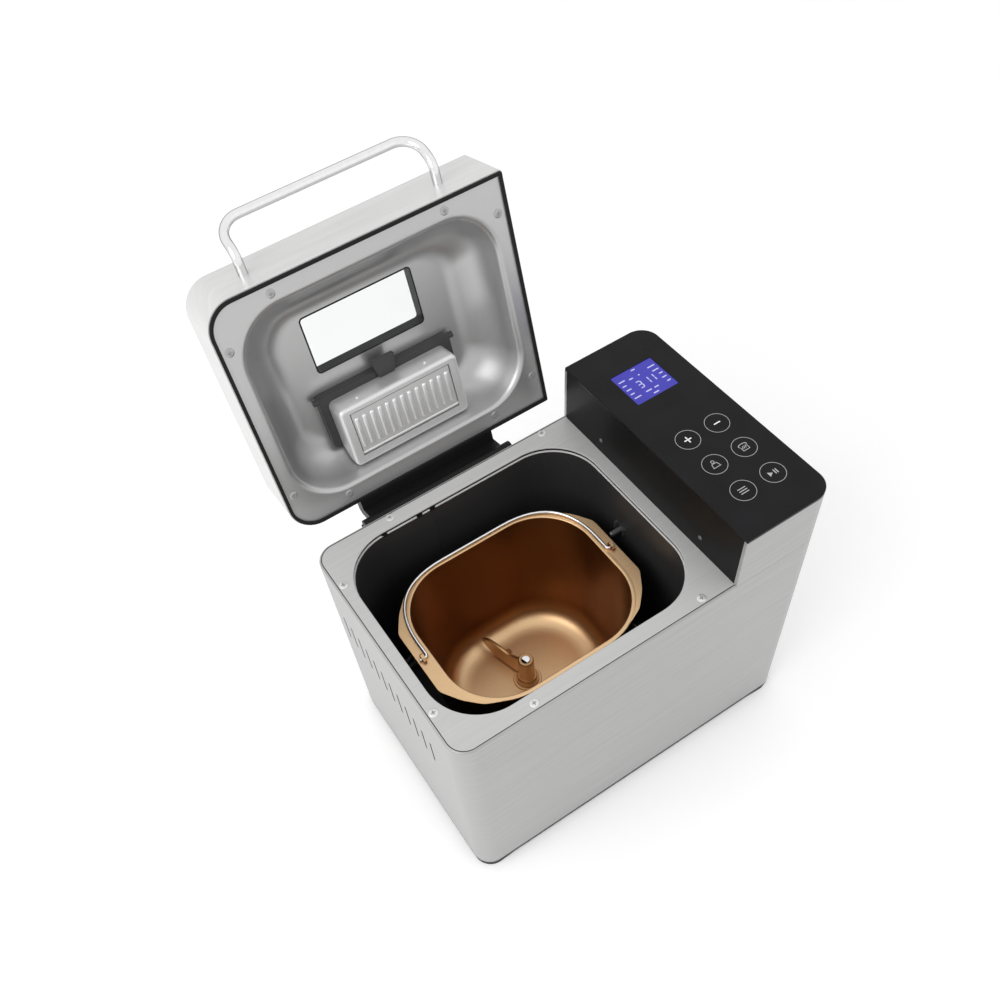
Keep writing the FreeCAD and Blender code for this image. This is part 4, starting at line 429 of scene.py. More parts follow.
def addTouchKeys():
    low, high = glassHigh.z, glassHigh.z + touchKeys["ink"] * mm

    def bar(bm, spot, u, v, length, width, angle=0.0):
        slab(bm, stroke(spot[0] + u * mm, spot[1] + v * mm, length * mm, width * mm, angle), low, high)

    rings = bmesh.new()
    for column in (0, 1):
        for row in (0, 1, 2):
            x, y = keySpot(column, row)
            outer = touchKeys["ring"] * mm
            band(rings, circle(x, y, outer, 72), circle(x, y, outer - touchKeys["line"] * mm, 72), low, high)
    makePiece("touchKeyRings", rings, keyWhite, "machine")

    bold = bmesh.new()
    bar(bold, keySpot(0, 0), 0, 0, touchKeys["plus"], touchKeys["boldLine"])
    for v in (touchKeys["plusStep"], -touchKeys["plusStep"]):
        bar(bold, keySpot(0, 0), 0, v, touchKeys["plusArm"], touchKeys["boldLine"], 90)
    bar(bold, keySpot(1, 0), 0, 0, touchKeys["minus"], touchKeys["boldLine"])
    makePiece("plusAndMinus", bold, boldWhite, "machine")

    signs = bmesh.new()
    weight, bread, lines, startPause = keySpot(0, 1), keySpot(1, 1), keySpot(0, 2), keySpot(1, 2)
    up = weight[1] + keySigns["weightUp"] * mm
    eye = [circle(weight[0], up, radius * mm, 24) for radius in keySigns["weightRing"]]
    band(signs, *eye, low, high)
    band(signs, drawnAt(weight, keySigns["weightOuter"]), drawnAt(weight, keySigns["weightInner"]), low, high)
    slices = [drawnAt(bread, keySigns["slice"], size) for size in keySigns["sliceSizes"]]
    band(signs, *slices, low, high)
    for step in (-1, 0, 1):
        bar(signs, bread, step * keySigns["cutStep"], 0, *keySigns["cut"])
    for step in (-1, 0, 1):
        bar(signs, lines, 0, step * keySigns["lineStep"], *keySigns["line"])
    slab(signs, drawnAt(startPause, keySigns["start"]), low, high)
    for u in keySigns["pauseAt"]:
        bar(signs, startPause, u, 0, *keySigns["pause"])
    makePiece("touchKeySigns", signs, keyWhite, "machine")


# display: a few seven-bar figures with small bars round them, places measured from its middle

displayLow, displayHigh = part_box("lcd_module")
displayMarks = {"figures": (("3", -5.4), ("1", 2.6), ("1", 8.4)), "level": -1.2, "tall": 8.6, "wide": 4.2,
                "line": 1.1, "share": 0.9, "ink": 0.05, "edge": 20.3, "bar": 1.4,
                "rows": (11.3, 5.3, -0.6, -6.4, -12.3),
                "leftRows": (7.0, 4.5, 5.5, 4.5, 7.5), "rightRows": (8.0, 7.0, 4.0, 5.0, 4.0),
                "loose": ((-7.7, 9.4, 4.5), (1.1, 9.3, 2.0), (0.5, 17.6, 4.5), (-3.9, -11.7, 6.5),
                          (4.6, -11.9, 5.0), (0.3, -17.2, 6.0))}
segmentsOf = {"1": "bc", "3": "abgcd"}


def addDisplayMarks():
    low, high = displayHigh.z, displayHigh.z + displayMarks["ink"] * mm
    middle = (displayLow + displayHigh) / 2
    marks = bmesh.new()

    def bar(u, v, length, width, angle=0):
        slab(marks, stroke(middle.x + u * mm, middle.y + v * mm, length * mm, width * mm, angle), low, high)

    tall, wide = displayMarks["tall"], displayMarks["wide"]
    segments = {"a": (0, tall / 2, wide, 0), "b": (wide / 2, tall / 4, tall / 2, 90),
                "c": (wide / 2, -tall / 4, tall / 2, 90), "d": (0, -tall / 2, wide, 0), "g": (0, 0, wide, 0)}
    for figure, offset in displayMarks["figures"]:
        for key in segmentsOf[figure]:
            u, v, length, angle = segments[key]
            length *= displayMarks["share"]
            bar(offset + u, displayMarks["level"] + v, length, displayMarks["line"], angle)
    edge = displayMarks["edge"]
    for v, left, right in zip(displayMarks["rows"], displayMarks["leftRows"], displayMarks["rightRows"]):
        bar(left / 2 - edge, v, left, displayMarks["bar"])
        bar(edge - right / 2, v, right, displayMarks["bar"])
    for u, v, length in displayMarks["loose"]:
        bar(u, v, length, displayMarks["bar"])
    makePiece("displayFigures", marks, displayWhite, "machine")


# cross-head screws in place of the plain heads; brow, arm and width are shares of the head's radius

crossHead = {"rise": 0.8, "waist": 0.4, "brow": 0.76, "arm": 0.48, "width": 0.26, "sink": 0.5, "steps": 36}
screwRadius = {"deck": 4.0, "housing": 2.3, "liner": 3.9}
screwReach = 12.0   # screws stand further apart than this


def crossHeadInto(bm, place, outward, radius):
    # one screw head with a sunk cross, its foot on the seat
    turn = outward.to_track_quat("Z", "Y").to_matrix().to_4x4()
    move = Matrix.Translation(place) @ turn
    arm, half = crossHead["arm"] * radius, crossHead["width"] / 2 * radius
    cross = [(half, half), (half, arm), (-half, arm), (-half, half), (-arm, half), (-arm, -half),
             (-half, -half), (-half, -arm), (half, -arm), (half, -half), (arm, -half), (arm, half)]
    rise = crossHead["rise"] * mm
    steps = crossHead["steps"]

    def ringAt(points, z):
        return [bm.verts.new(move @ Vector((x, y, z))) for x, y in points]

    def sides(a, b):
        pairs = zip(a, a[1:] + a[:1], b[1:] + b[:1], b)
        return [bm.faces.new(four) for four in pairs]

    foot = ringAt(circle(0, 0, radius, steps), 0)
    waist = ringAt(circle(0, 0, radius, steps), rise * crossHead["waist"])
    brow = ringAt(circle(0, 0, crossHead["brow"] * radius, steps), rise)
    mouth = ringAt(cross, rise)
    floor = ringAt(cross, rise - crossHead["sink"] * mm)
    sides(foot, waist)
    sides(waist, brow)
    # painted shade: the cross's walls and floor take the darker second material
    for face in sides(floor, mouth):
        face.material_index = 1
    bm.faces.new(floor).material_index = 1
    bm.faces.new(foot[::-1])
    edges = []
    for line in (brow, mouth):
        for i in range(len(line)):
            edges.append(bm.edges.get((line[i], line[(i + 1) % len(line)])))
    bmesh.ops.triangle_fill(bm, edges=edges, use_beauty=True)


def addScrews(name, node, outward, body, radius, metal):
    bm = bmesh.new()
    for group in solidGroups(node, screwReach * mm):
        heights = [p.dot(outward) for p in group]
        seat = max(heights) - crossHead["rise"] * mm
        axisPoint = sum(group, Vector()) / len(group)
        crossHeadInto(bm, axisPoint + outward * (seat - axisPoint.dot(outward)), outward, radius * mm)
    piece = makePiece(name, bm, metal, body)
    piece.data.materials.append(screwRecessShade)
    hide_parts(node)


# the open lid's own places, turned about its pivot from shut; the two backs are from the body's middle

lidOpen = {"angle": 103.7, "back": 114.5, "base": 268.0, "pivotBack": 132.0, "pivotUp": 255.5}
lidPivot = Vector((0.0, bodyMiddle.y + lidOpen["pivotBack"] * mm, lidOpen["pivotUp"] * mm))
lidTurn = Matrix.Rotation(math.radians(-lidOpen["angle"]), 3, "X")
lidBack, lidBase = bodyMiddle.y + lidOpen["back"] * mm, lidOpen["base"] * mm
linerOut = lidTurn @ Vector((0, 0, -1))


def lidPoint(across, down, deep):
    # a place in the lid: from its left side, from its hinge edge, and in from the seal
    shut = Vector((casing[0].x + across * mm, lidBack - down * mm, lidBase + deep * mm))
    return lidPivot + lidTurn @ (shut - lidPivot)


def lidSpot(across, up, deep):
    return lidPoint(across, -up, deep)


# bread pan: a deep drawn shell with a rolled rim, an almost oval floor and chamfered ears

panLow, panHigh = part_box("bread_pan")
panMiddle = (panLow + panHigh) / 2
breadPan = {"halfLong": 100.0, "halfDeep": 84.2, "corner": 60.0, "rim": 215.0, "floor": 69.0, "gauge": 1.8,
            "roll": 4.8, "rollTall": 3.6, "rimEase": 1.5, "lipEase": 1.2, "tuckEase": 0.7, "draft": 9.0,
            "floorEase": 25.0, "floorFlat": 4.0, "floorExtra": 0.4, "oval": 0.97, "bore": 7.0}
panEar = {"edge": ((110.0, 36.0, 4.0), (98.5, 54.5, 5.0), (84.0, 69.5, 5.0), (69.0, 76.4, 0.0)), "inset": 2.4,
          "bend": 58, "bendSteps": 12, "drop": 0.1, "thick": 2.8}
panLug = {"inner": 103.0, "thick": 3.0, "half": 4.5, "rise": 5.4, "sunk": 2.0}
panFoot = {"collar": (46.0, 42.0), "boss": (15.0, 7.0), "bossTall": 12.0, "overlap": 0.3}
# radius and height
sealCap = ((14.8, 69.0), (14.2, 70.05), (8.0, 70.05), (8.0, 69.85), (14.05, 69.85), (14.3, 69.0))


def panSpot(x, y, z):
    # measured from the pan's own middle
    return (panMiddle.x + x * mm, panMiddle.y + y * mm, z * mm)


def panRing(inset, height):
    # rounded corners at the rim that open out to an oval at the floor
    sunk = min(1.0, max(0.0, (breadPan["rim"] - height) / (breadPan["rim"] - breadPan["floor"])))
    long, deep = breadPan["halfLong"] - inset, breadPan["halfDeep"] - inset
    corner = (breadPan["corner"] - inset) * (1 - sunk) + deep * breadPan["oval"] * sunk
    return roundedRing((-long, -deep), (long, deep), corner)


def panSection():
    # from the floor's middle up the inside, over the rolled rim and down the outside
    rim, floor, gauge, roll = (breadPan[k] for k in ("rim", "floor", "gauge", "roll"))
    rimEase, floorEase = breadPan["rimEase"], breadPan["floorEase"]
    foot, lip = roll + breadPan["draft"], rim - breadPan["rollTall"]
    under = floor - gauge - breadPan["floorExtra"]
    start = foot + floorEase + breadPan["floorFlat"]
    return softLine([(start, floor, 0), (foot, floor, floorEase), (roll, rim, rimEase), (0, rim, rimEase),
                     (0, lip, breadPan["lipEase"]), (roll - gauge, lip, breadPan["tuckEase"]),
                     (foot - gauge, under, floorEase), (start, under, 0)])


def earOutline(side):
    # outer edge with its long chamfers, then back along the rim
    front = [(x, -y, ease) for x, y, ease in reversed(panEar["edge"])]
    outer = [tuple(spot) for spot in softLine(front + list(panEar["edge"]), 5)]
    centre = (breadPan["halfLong"] - breadPan["corner"], breadPan["halfDeep"] - breadPan["corner"])
    r = breadPan["corner"] - panEar["inset"]
    steps = panEar["bendSteps"]
    turns = [math.radians(panEar["bend"] * (1 - i / steps)) for i in range(steps)]
    bend = [(centre[0] + r * math.cos(t), centre[1] + r * math.sin(t)) for t in turns]
    line = outer + bend + [(u, -v) for u, v in reversed(bend)]
    return [(side * u, v) for u, v in line]


def addBreadPan():
    bm = bmesh.new()
    section = panSection()
    bore = breadPan["bore"]
    hole = roundedRing((-bore, -bore), (bore, bore), bore * breadPan["oval"])
    rings = [(hole, section[0].y)] + [(panRing(u, v), v) for u, v in section] + [(hole, section[-1].y)]
    wrapped(bm, rings, panSpot)
    top = breadPan["rim"] - panEar["drop"]
    half, rise, sunk = panLug["half"], breadPan["rim"] + panLug["rise"], top - panLug["sunk"]
    lug = [(-half, sunk), (half, sunk), (half, rise - half / 2), (half / 2, rise), (-half / 2, rise),
           (-half, rise - half / 2)]
    for side in (-1, 1):
        slab(bm, earOutline(side), top - panEar["thick"], top, panSpot)
        slab(bm, lug, side * panLug["inner"], side * (panLug["inner"] + panLug["thick"]),
             lambda y, z, x: panSpot(x, y, z))
    under, foot = section[-1].y + panFoot["overlap"], panLow.z / mm
    for (outer, inner), low in ((panFoot["collar"], foot), (panFoot["boss"], under - panFoot["bossTall"])):
        band(bm, circle(0, 0, outer, 64), circle(0, 0, inner, 64), low, under, panSpot)
    wrapped(bm, [(circle(0, 0, radius, 64), z) for radius, z in sealCap], panSpot)
    piece = makePiece("breadPanShell", bm, panCoatingPaintedLight, "pan")
    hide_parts("bread_pan")


# bail: a bent rod that lies folded along the rim's back

bailRod = {"reach": 83.0, "arm": 100.0, "tip": 108.0, "level": 216.8, "radius": 1.5, "corner": 66.0,
           "bend": 2.8}


def addBail():
    reach, arm, tip, corner, bend = (bailRod[k] for k in ("reach", "arm", "tip", "corner", "bend"))
    line = softLine([(-tip, 0, 0), (-arm, 0, bend), (-arm, reach, corner),
                     (arm, reach, corner), (arm, 0, bend), (tip, 0, 0)], 14)
    bm = bmesh.new()
    loops = []
    for i, here in enumerate(line):
        along = (line[min(i + 1, len(line) - 1)] - line[max(i - 1, 0)]).normalized()
        out = Vector((-along.y, along.x))
        ring = []
        for x, z in circle(0, 0, bailRod["radius"], 16):
            spot = here + out * x
            ring.append(bm.verts.new(panSpot(spot.x, spot.y, bailRod["level"] + z)))
        loops.append(ring)
    capped(bm, loops)
    piece = makePiece("bailRod", bm, chrome, "bail")
    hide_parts("pan_handle")


# kneading paddle: a stepped hub and an upright blade with a small peg on its far side

kneader = {"hub": ((4.2, 70.2), (12.4, 70.2), (12.4, 71.6), (11.8, 72.2), (10.4, 72.2), (10.4, 76.6),
                   (9.6, 77.4), (8.0, 77.4), (8.0, 107.2), (7.0, 108.2), (4.8, 108.2), (4.2, 107.6)),
           "blade": ((6.0, 71.2, 0), (43.2, 71.2, 8), (60.0, 83.2, 5), (60.0, 89.2, 3), (51.6, 95.2, 4),
                     (36.0, 96.2, 6), (21.6, 94.2, 6), (6.0, 101.2, 0)),
           "turn": 106, "thick": 3.2, "bevel": 0.7, "faceShare": 0.95,
           "peg": (27.0, 90.5), "pegRings": ((3.2, 0.0), (3.2, -4.5), (2.4, -5.6), (1.12, -6.0))}


def addPaddle():
    bm = bmesh.new()
    wrapped(bm, [(circle(0, 0, radius, 48), z) for radius, z in kneader["hub"]], panSpot)
    c, s = math.cos(math.radians(kneader["turn"])), math.sin(math.radians(kneader["turn"]))

    def bladeSpot(along, z, out):
        return panSpot(along * c - out * s, along * s + out * c, z)

    outline = [tuple(spot) for spot in softLine(kneader["blade"], 6)]
    middle = Vector((sum(u for u, v in outline), sum(v for u, v in outline))) / len(outline)
    shrunk = [tuple(middle + (Vector(spot) - middle) * kneader["faceShare"]) for spot in outline]
    half, bevel = kneader["thick"] / 2, kneader["bevel"]
    lofted(bm, [(shrunk, -half), (outline, bevel - half), (outline, half - bevel), (shrunk, half)], bladeSpot)
    u, v = kneader["peg"]
    lofted(bm, [(circle(u, v, radius, 20), out) for radius, out in kneader["pegRings"]], bladeSpot)
    piece = makePiece("kneadingPaddle", bm, paddleCoating, "paddle")
    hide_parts("kneading_paddle")


# lid liner: a pressed sheet whose wall drops steeply, then slopes in to the window; and the seal on its edge

lidSize = {"wide": 279.5, "long": 230.5, "corner": 27.0, "squareCorner": 3.0}
linerSheet = {"edge": 1.4, "seat": 2.2, "gauge": 1.0, "side": 18.0, "front": 21.5, "back": 22.0,
              "corner": 46.0, "lip": 8.0, "lipEase": 4.5, "steepRun": 10.0, "steepEnd": 29.0,
              "wallEase": 15.0, "run": 30.5, "backRun": 21.0, "tighten": 0.5, "floor": 46.0,
              "floorEase": 9.5, "floorFlat": 0.5}
linerWindow = {"left": 82.1, "right": 194.4, "near": 112.1, "far": 168.4, "corner": 4.4}
lidSeal = {"inset": 1.0, "wide": 3.0, "low": 0.3}


def lidRing(sides, front, back, radius, rightRadius=None):
    # an outline in the lid, inset from its edges; the hinge edge is at the top
    low, high = (sides, front - lidSize["long"]), (lidSize["wide"] - sides, -back)
    return roundedRing(low, high, radius, rightRadius)


def linerRing(run):
    # the dish's outline part of the way down its wall
    back = linerSheet["back"] + run * linerSheet["backRun"] / linerSheet["run"]
    radius = linerSheet["corner"] - run * linerSheet["tighten"]
    return lidRing(linerSheet["side"] + run, linerSheet["front"] + run, back, radius)


def addLidLiner():
    edge, seat, floor, run, floorEase = (linerSheet[k] for k in ("edge", "seat", "floor", "run", "floorEase"))
    wall = softLine([(-linerSheet["lip"], seat, 0), (0, seat, linerSheet["lipEase"]),
                     (linerSheet["steepRun"], linerSheet["steepEnd"], linerSheet["wallEase"]),
                     (run, floor, floorEase), (run + floorEase + linerSheet["floorFlat"], floor, 0)])
    rim = lidRing(edge, edge, edge, lidSize["corner"] - edge, lidSize["squareCorner"])
    window = roundedRing((linerWindow["left"], -linerWindow["far"]),
                         (linerWindow["right"], -linerWindow["near"]), linerWindow["corner"])
    face = [(rim, seat)] + [(linerRing(u), v) for u, v in wall] + [(window, floor)]
    rear = [(line, deep + linerSheet["gauge"]) for line, deep in reversed(face)]
    bm = bmesh.new()
    wrapped(bm, face + rear, lidSpot)
    piece = makePiece("lidLinerSheet", bm, linerMetal, "lid")
    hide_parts("lid_liner")

    seal = bmesh.new()
    rings = [lidRing(i, i, i, lidSize["corner"] - i, lidSize["squareCorner"] / 2)
             for i in (lidSeal["inset"], lidSeal["inset"] + lidSeal["wide"])]
    band(seal, *rings, lidSeal["low"], seat, lidSpot)
    piece = makePiece("lidSealStrip", seal, sealRubber, "lid")
    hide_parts("lid_gasket")


# dispenser flap: a plate with a hinge barrel and a row of rounded ribs

flapPlate = {"left": 88.4, "right": 191.1, "near": 38.8, "far": 81.1, "corner": 1.0, "face": 12.6,
             "thick": 2.2, "barrel": 1.9, "barrelDeep": 14.0, "ribs": 13, "ribWide": 4.7, "ribTall": 1.7,
             "ribSunk": 0.2, "ribNear": 43.5, "ribFar": 76.0, "ribTurns": (0, 25, 50, 72)}


def addFlap():
    bm = bmesh.new()
    left, right, face = flapPlate["left"], flapPlate["right"], flapPlate["face"]
    plate = roundedRing((left, -flapPlate["far"]), (right, -flapPlate["near"]), flapPlate["corner"])
    slab(bm, plate, face, face + flapPlate["thick"], lidSpot)
    barrel = circle(-flapPlate["near"], flapPlate["barrelDeep"], flapPlate["barrel"], 24)
    slab(bm, barrel, left, right, lambda up, deep, across: lidSpot(across, up, deep))
    pitch = (right - left) / flapPlate["ribs"]
    middle = -(flapPlate["ribNear"] + flapPlate["ribFar"]) / 2
    length = flapPlate["ribFar"] - flapPlate["ribNear"]
    for i in range(flapPlate["ribs"]):
        rings = []
        for turn in flapPlate["ribTurns"]:
            wide = flapPlate["ribWide"] * math.cos(math.radians(turn))
            bar = stroke(left + pitch * (i + 0.5), middle, length - flapPlate["ribWide"] + wide, wide, 90)
            rise = flapPlate["ribTall"] * math.sin(math.radians(turn))
            rings.append((bar, face + flapPlate["ribSunk"] - rise))
        lofted(bm, rings, lidSpot)
    piece = makePiece("dispenserFlapPlate", bm, dispenserMetal, "flap")
    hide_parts("dispenser_flap")


# slide latch: a flared tab between the box and the window, on a stem that runs in the mount

latchTab = {"middle": 139.75, "near": 89.3, "far": 107.6, "nearHalf": 8.5, "farHalf": 12.3, "ease": 3.0,
            "face": 31.7, "seat": 35.7, "bevel": 1.2, "bevelShare": 0.3,
            "stemHalf": 9.0, "stemNear": 90.7, "stemFar": 92.4, "stemEnd": 40.8, "stemCorner": 0.3}


def latchOutline(inset):
    middle, ease = latchTab["middle"], latchTab["ease"]
    near, far = -latchTab["near"] - inset, -latchTab["far"] + inset
    nearHalf, farHalf = latchTab["nearHalf"] - inset, latchTab["farHalf"] - inset
    return softLine([(middle, far, 0), (middle + farHalf, far, ease), (middle + nearHalf, near, ease),
                     (middle - nearHalf, near, ease), (middle - farHalf, far, ease), (middle, far, 0)])[:-1]


def addLatch():
    bm = bmesh.new()
    face, bevel = latchTab["face"], latchTab["bevel"]
    partBevel = bevel * latchTab["bevelShare"]
    rings = [(latchOutline(bevel), face), (latchOutline(partBevel), face + partBevel),
             (latchOutline(0), face + bevel), (latchOutline(0), latchTab["seat"])]
    lofted(bm, rings, lidSpot)
    half = latchTab["stemHalf"]
    stem = roundedRing((latchTab["middle"] - half, -latchTab["stemFar"]),
                       (latchTab["middle"] + half, -latchTab["stemNear"]), latchTab["stemCorner"])
    slab(bm, stem, latchTab["seat"] - bevel, latchTab["stemEnd"], lidSpot)
    piece = makePiece("latchTab", bm, mountPlastic, "latch")
    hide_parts("dispenser_latch")


# black linings in the vent slots' walls as painted shade for the shade inside them, a black strip in the seam
# round the deck as painted shade in its narrow gap, and the tray's edge under the casing, drawn on below the
# tray as painted shade

ventShadeLining = {"count": 12, "pitch": 14.4, "shift": 11.0, "wide": 2.6, "tall": 36.0, "middle": 186.0,
            "edge": 0.3, "deep": 1.3}
# painted shade: a black strip in the seam round the deck, wider than the gap, standing in for the shade in it
deckSeamShade = {"corner": 19.0, "inset": 2.0, "wide": 0.7, "rise": 0.04, "deep": 0.5}
# partly the tray's own black edge, partly painted shade: the strip runs down below the tray into the shade
# under the casing
trayEdgeAndShade = {"inset": 0.3, "wide": 1.2, "low": 5.0}


def caseLines(inset, wide):
    # two lines that follow the casing's outline, inset from it
    lines = []
    for inward in (inset, inset + wide):
        out = Vector((inward, inward, 0)) * mm
        lines.append(roundedRing(casing[0] + out, casing[1] - out, (deckSeamShade["corner"] - inward) * mm))
    return lines


def addVentsAndSeam():
    bm = bmesh.new()
    z = ventShadeLining["middle"] * mm
    for side, wall in ((1, casing[0].x), (-1, casing[1].x)):
        end = wall + side * ventShadeLining["deep"] * mm
        for i in range(ventShadeLining["count"]):
            step = i - (ventShadeLining["count"] - 1) / 2
            y = bodyMiddle.y + (ventShadeLining["shift"] + ventShadeLining["pitch"] * step) * mm
            # painted shade: each slot gets a thin black lining in its cut wall, standing in for the shade
            # inside the slot
            slots = [stroke(y, z, (ventShadeLining["tall"] - cut) * mm, (ventShadeLining["wide"] - cut) * mm, 90)
                     for cut in (0, 2 * ventShadeLining["edge"])]
            band(bm, *slots, wall, end, lambda y, z, x: (x, y, z))
    makePiece("ventSlotShadeLinings", bm, blackPlastic, "machine")

    # painted shade: the black strip in the seam stands in for the shade in the narrow gap between deck and
    # casing
    seamShadeStrip = bmesh.new()
    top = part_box("top_deck")[1].z
    low, high = top - deckSeamShade["deep"] * mm, top + deckSeamShade["rise"] * mm
    band(seamShadeStrip, *caseLines(deckSeamShade["inset"], deckSeamShade["wide"]), low, high)
    makePiece("deckSeamShade", seamShadeStrip, sealRubber, "machine")
    # the tray's black edge flush with the casing, drawn on below the tray as painted shade
    trayAndShadeStrip = bmesh.new()
    band(trayAndShadeStrip, *caseLines(trayEdgeAndShade["inset"], trayEdgeAndShade["wide"]), trayEdgeAndShade["low"] * mm, casing[0].z)
    makePiece("trayEdgeAndShade", trayAndShadeStrip, blackPlastic, "machine")


# the oven chamber's rim below the deck, its near-white matt colour a painted highlight, held by small dark
# tabs at the back

chamberMouth = {"left": 13.5, "right": 268.0, "halfDeep": 107.5, "radius": 51.0}
chamberEdgeHighlight = {"grow": 0.7, "thick": 1.3, "top": 262.8, "tall": 1.0}
chamberTab = {"across": (66, 104, 118), "half": 3.0, "endHalf": 2.6, "inward": 0.6, "outward": 3.0,
              "low": 260.0, "high": 263.6}
mouthHalf = chamberMouth["halfDeep"] * mm
mouthLow = Vector((casing[0].x + chamberMouth["left"] * mm, bodyMiddle.y - mouthHalf, 0))
mouthHigh = Vector((casing[0].x + chamberMouth["right"] * mm, bodyMiddle.y + mouthHalf, 0))


def mouthLine(grow):
    # the mouth's outline, moved outward
    out = Vector((grow, grow, 0)) * mm
    return roundedRing(mouthLow - out, mouthHigh + out, (chamberMouth["radius"] + grow) * mm)


def addChamberEdge():
    bm = bmesh.new()
    # painted highlight: a near-white, almost matt ring on the chamber's rim
    outer, inner = mouthLine(chamberEdgeHighlight["grow"]), mouthLine(chamberEdgeHighlight["grow"] - chamberEdgeHighlight["thick"])
    band(bm, outer, inner, (chamberEdgeHighlight["top"] - chamberEdgeHighlight["tall"]) * mm, chamberEdgeHighlight["top"] * mm)
    makePiece("chamberEdgeHighlight", bm, brightMetal, "machine")

    tabs = bmesh.new()
    half, endHalf = chamberTab["half"] * mm, chamberTab["endHalf"] * mm
    near, far = mouthHigh.y - chamberTab["inward"] * mm, mouthHigh.y + chamberTab["outward"] * mm
    for across in chamberTab["across"]:
        x = casing[0].x + across * mm
        tongue = [(x - half, near), (x + half, near), (x + endHalf, far), (x - endHalf, far)]
        slab(tabs, tongue, chamberTab["low"] * mm, chamberTab["high"] * mm)
    makePiece("chamberTabs", tabs, blackPlastic, "machine")


# folded seam in the chamber's back wall and the clip that holds the probe

chamberSeam = {"across": 118.5, "behind": 0.8, "wide": 2.2, "proud": 0.5, "low": 80.0, "high": 259.5,
               "fold": ((-1, 0), (-0.5, 1), (0.2, 1), (0.3, 0.2), (1, 0))}
probeClip = {"wide": 15.0, "tall": 11.0, "thick": 0.8, "lip": 3.0, "behind": 0.7, "play": 0.3, "hollow": 0.9,
             "armAt": 0.8, "armDown": 0.6}


def addChamberFittings():
    bm = bmesh.new()
    x, y = casing[0].x + chamberSeam["across"] * mm, mouthHigh.y + chamberSeam["behind"] * mm
    half, proud = chamberSeam["wide"] / 2 * mm, chamberSeam["proud"] * mm
    fold = [(x + half * u, y - proud * v) for u, v in chamberSeam["fold"]]
    slab(bm, fold, chamberSeam["low"] * mm, chamberSeam["high"] * mm)
    makePiece("chamberSeam", bm, ovenEnamel, "machine")

    probeLow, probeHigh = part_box("temperature_probe")
    spot = (probeLow + probeHigh) / 2
    wall = mouthHigh.x + probeClip["behind"] * mm
    half, tall, thick = probeClip["wide"] / 2 * mm, probeClip["tall"] / 2 * mm, probeClip["thick"] * mm
    above = spot.z + (probeHigh.z - probeLow.z) / 2 + probeClip["play"] * mm
    inside, edge = half * probeClip["hollow"], thick * (1 - probeClip["hollow"])
    outer = rectangle(wall - thick, wall, spot.y - half, spot.y + half)
    inner = rectangle(wall - thick + edge, wall - edge, spot.y - inside, spot.y + inside)
    clip = bmesh.new()
    band(clip, outer, inner, above, spot.z + tall)
    for side in (-1, 1):
        y = spot.y + side * half * probeClip["armAt"]
        arm = rectangle(wall - probeClip["lip"] * mm, wall, y - thick / 2, y + thick / 2)
        slab(clip, arm, spot.z - tall * probeClip["armDown"], above)
    makePiece("probeClip", clip, clipMetal, "machine")


# two small rivets on the dispenser's wall towards the window

dispenserRivets = {"across": (101.5, 173.0), "down": 89.0, "deep": 21.0, "radius": 1.3}


def addDispenserRivets():
    bm = bmesh.new()
    for across in dispenserRivets["across"]:
        place = lidPoint(across, dispenserRivets["down"], dispenserRivets["deep"])
        bmesh.ops.create_uvsphere(bm, u_segments=20, v_segments=10, radius=dispenserRivets["radius"] * mm,
                                  matrix=Matrix.Translation(place))
    makePiece("dispenserRivets", bm, brightMetal, "lid")


housingWall = {"lean": 1.9, "tall": 61.6}   # the control housing's wall leans back a little
wallLean = math.atan2(housingWall["lean"], housingWall["tall"])
wallOut = Vector((-math.cos(wallLean), 0, math.sin(wallLean)))

addTouchKeys()
addDisplayMarks()
print("bread machine: printed keys and display on")
addScrews("deckScrewHeads", "deck_screws", Vector((0, 0, 1)), "machine", screwRadius["deck"], screwSteel)
addScrews("housingScrewHeads", "housing_screws", wallOut, "machine", screwRadius["housing"], clipMetal)
addScrews("linerScrewHeads", "liner_screws", linerOut, "lid", screwRadius["liner"], linerScrewSteel)
print("bread machine: screw heads on")
addBreadPan()
addBail()
addPaddle()
print("bread machine: pan, bail and paddle in")
addLidLiner()
addFlap()
addLatch()
print("bread machine: lid liner, seal, flap and latch on")
addVentsAndSeam()
addChamberEdge()
addChamberFittings()
addDispenserRivets()
print("bread machine: vents, seams, oven fittings and rivets on")


# studio

studio = {"floorSize": 8.0, "floorColour": (0.93, 0.93, 0.93), "floorVary": 1.03, "floorRough": 0.9,
          "floorGlow": 0.16, "worldStrength": 0.85, "aimUp": 0.2,
          "keyPower": 13.0, "keyPlace": (-1.5, -0.3, 1.5), "keySize": 1.4,
          "fillPower": 0.5, "fillPlace": (0.9, -1.5, 1.4), "fillSize": 1.6}


def seenAsWhite(tree):
    # what camera, mirror and glass rays meet is plain white; light rays meet the set strength
    path = tree.nodes.new("ShaderNodeLightPath")
    most = tree.nodes.new("ShaderNodeMath")
    most.operation = "MAXIMUM"
    both = tree.nodes.new("ShaderNodeMath")
    both.operation = "MAXIMUM"
    tree.links.new(path.outputs["Is Camera Ray"], most.inputs[0])
    tree.links.new(path.outputs["Is Glossy Ray"], most.inputs[1])
    tree.links.new(most.outputs[0], both.inputs[0])
    tree.links.new(path.outputs["Is Transmission Ray"], both.inputs[1])
    return both.outputs[0]


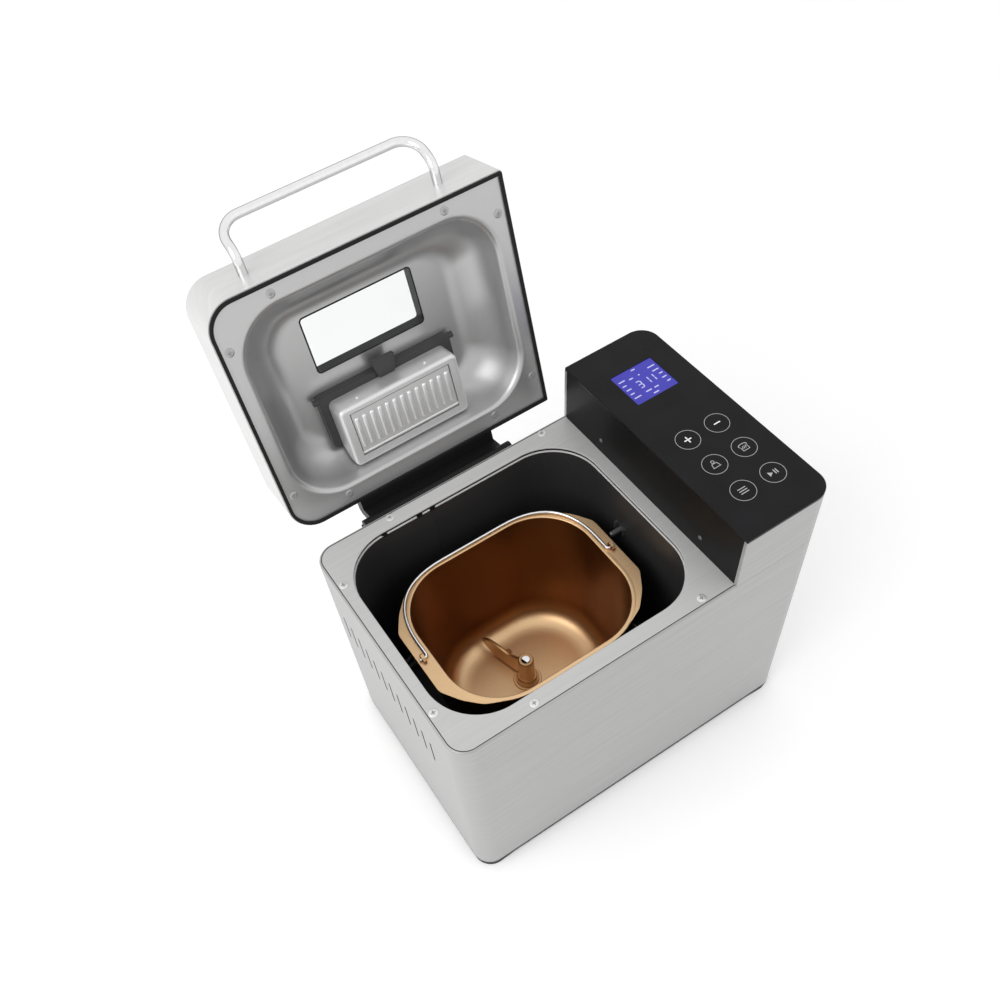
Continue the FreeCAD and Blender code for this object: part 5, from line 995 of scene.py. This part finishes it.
def buildStudio():
    world = bpy.data.worlds.new("studioWorld")
    bpy.context.scene.world = world
    world.use_nodes = True
    tree = world.node_tree
    light = tree.nodes["Background"]
    light.inputs["Color"].default_value = (1, 1, 1, 1)
    light.inputs["Strength"].default_value = studio["worldStrength"]
    white = tree.nodes.new("ShaderNodeBackground")
    white.inputs["Color"].default_value = (1, 1, 1, 1)
    white.inputs["Strength"].default_value = 1.0
    mix = tree.nodes.new("ShaderNodeMixShader")
    tree.links.new(seenAsWhite(tree), mix.inputs["Fac"])
    tree.links.new(light.outputs[0], mix.inputs[1])
    tree.links.new(white.outputs[0], mix.inputs[2])
    tree.links.new(mix.outputs[0], tree.nodes["World Output"].inputs["Surface"])

    bpy.ops.mesh.primitive_plane_add(size=studio["floorSize"], location=(0, 0, 0))
    floor = bpy.context.object
    floor.name = "studioFloor"
    mat, tree, shader = newMaterial("studioFloorPaper")
    noise = stretchedNoise(tree, even, 3)
    paler = shade(studio["floorColour"], studio["floorVary"])
    tones = ramp(tree, noise.outputs["Fac"], [(0.3, studio["floorColour"]), (0.7, paler)])
    tree.links.new(tones.outputs["Color"], shader.inputs["Base Color"])
    shader.inputs["Roughness"].default_value = studio["floorRough"]
    shader.inputs["Emission Color"].default_value = (1, 1, 1, 1)
    shader.inputs["Emission Strength"].default_value = studio["floorGlow"]
    floor.data.materials.append(mat)

    for name in ("key", "fill"):
        lamp = bpy.data.lights.new(name + "Softbox", "AREA")
        lamp.energy = studio[name + "Power"]
        lamp.size = studio[name + "Size"]
        holder = bpy.data.objects.new(name + "Softbox", lamp)
        holder.location = studio[name + "Place"]
        aim = Vector((bodyMiddle.x, bodyMiddle.y, studio["aimUp"])) - holder.location
        holder.rotation_euler = aim.to_track_quat("-Z", "Y").to_euler()
        bpy.context.collection.objects.link(holder)


# the camera stands where the photo was taken from, measured from the casing's middle

photoCamera = {"place": (-0.2921, -0.4368, 0.9793), "turn": (33.885, 5.7016, -32.4122), "lens": 35.64,
               "sensor": 36, "shift": (0.0329, 0.0906), "nearest": 0.01}


def placeCamera():
    data = bpy.data.cameras.new("photoCamera")
    data.sensor_width = photoCamera["sensor"]
    data.lens = photoCamera["lens"]
    data.shift_x, data.shift_y = photoCamera["shift"]
    data.clip_start = photoCamera["nearest"]
    camera = bpy.data.objects.new("photoCamera", data)
    camera.location = Vector(photoCamera["place"]) + Vector((bodyMiddle.x, bodyMiddle.y, 0))
    camera.rotation_euler = Euler([math.radians(a) for a in photoCamera["turn"]])
    bpy.context.collection.objects.link(camera)
    bpy.context.scene.camera = camera


buildStudio()
placeCamera()
bpy.context.scene.view_settings.view_transform = "Standard"
print("bread machine: studio and camera set")
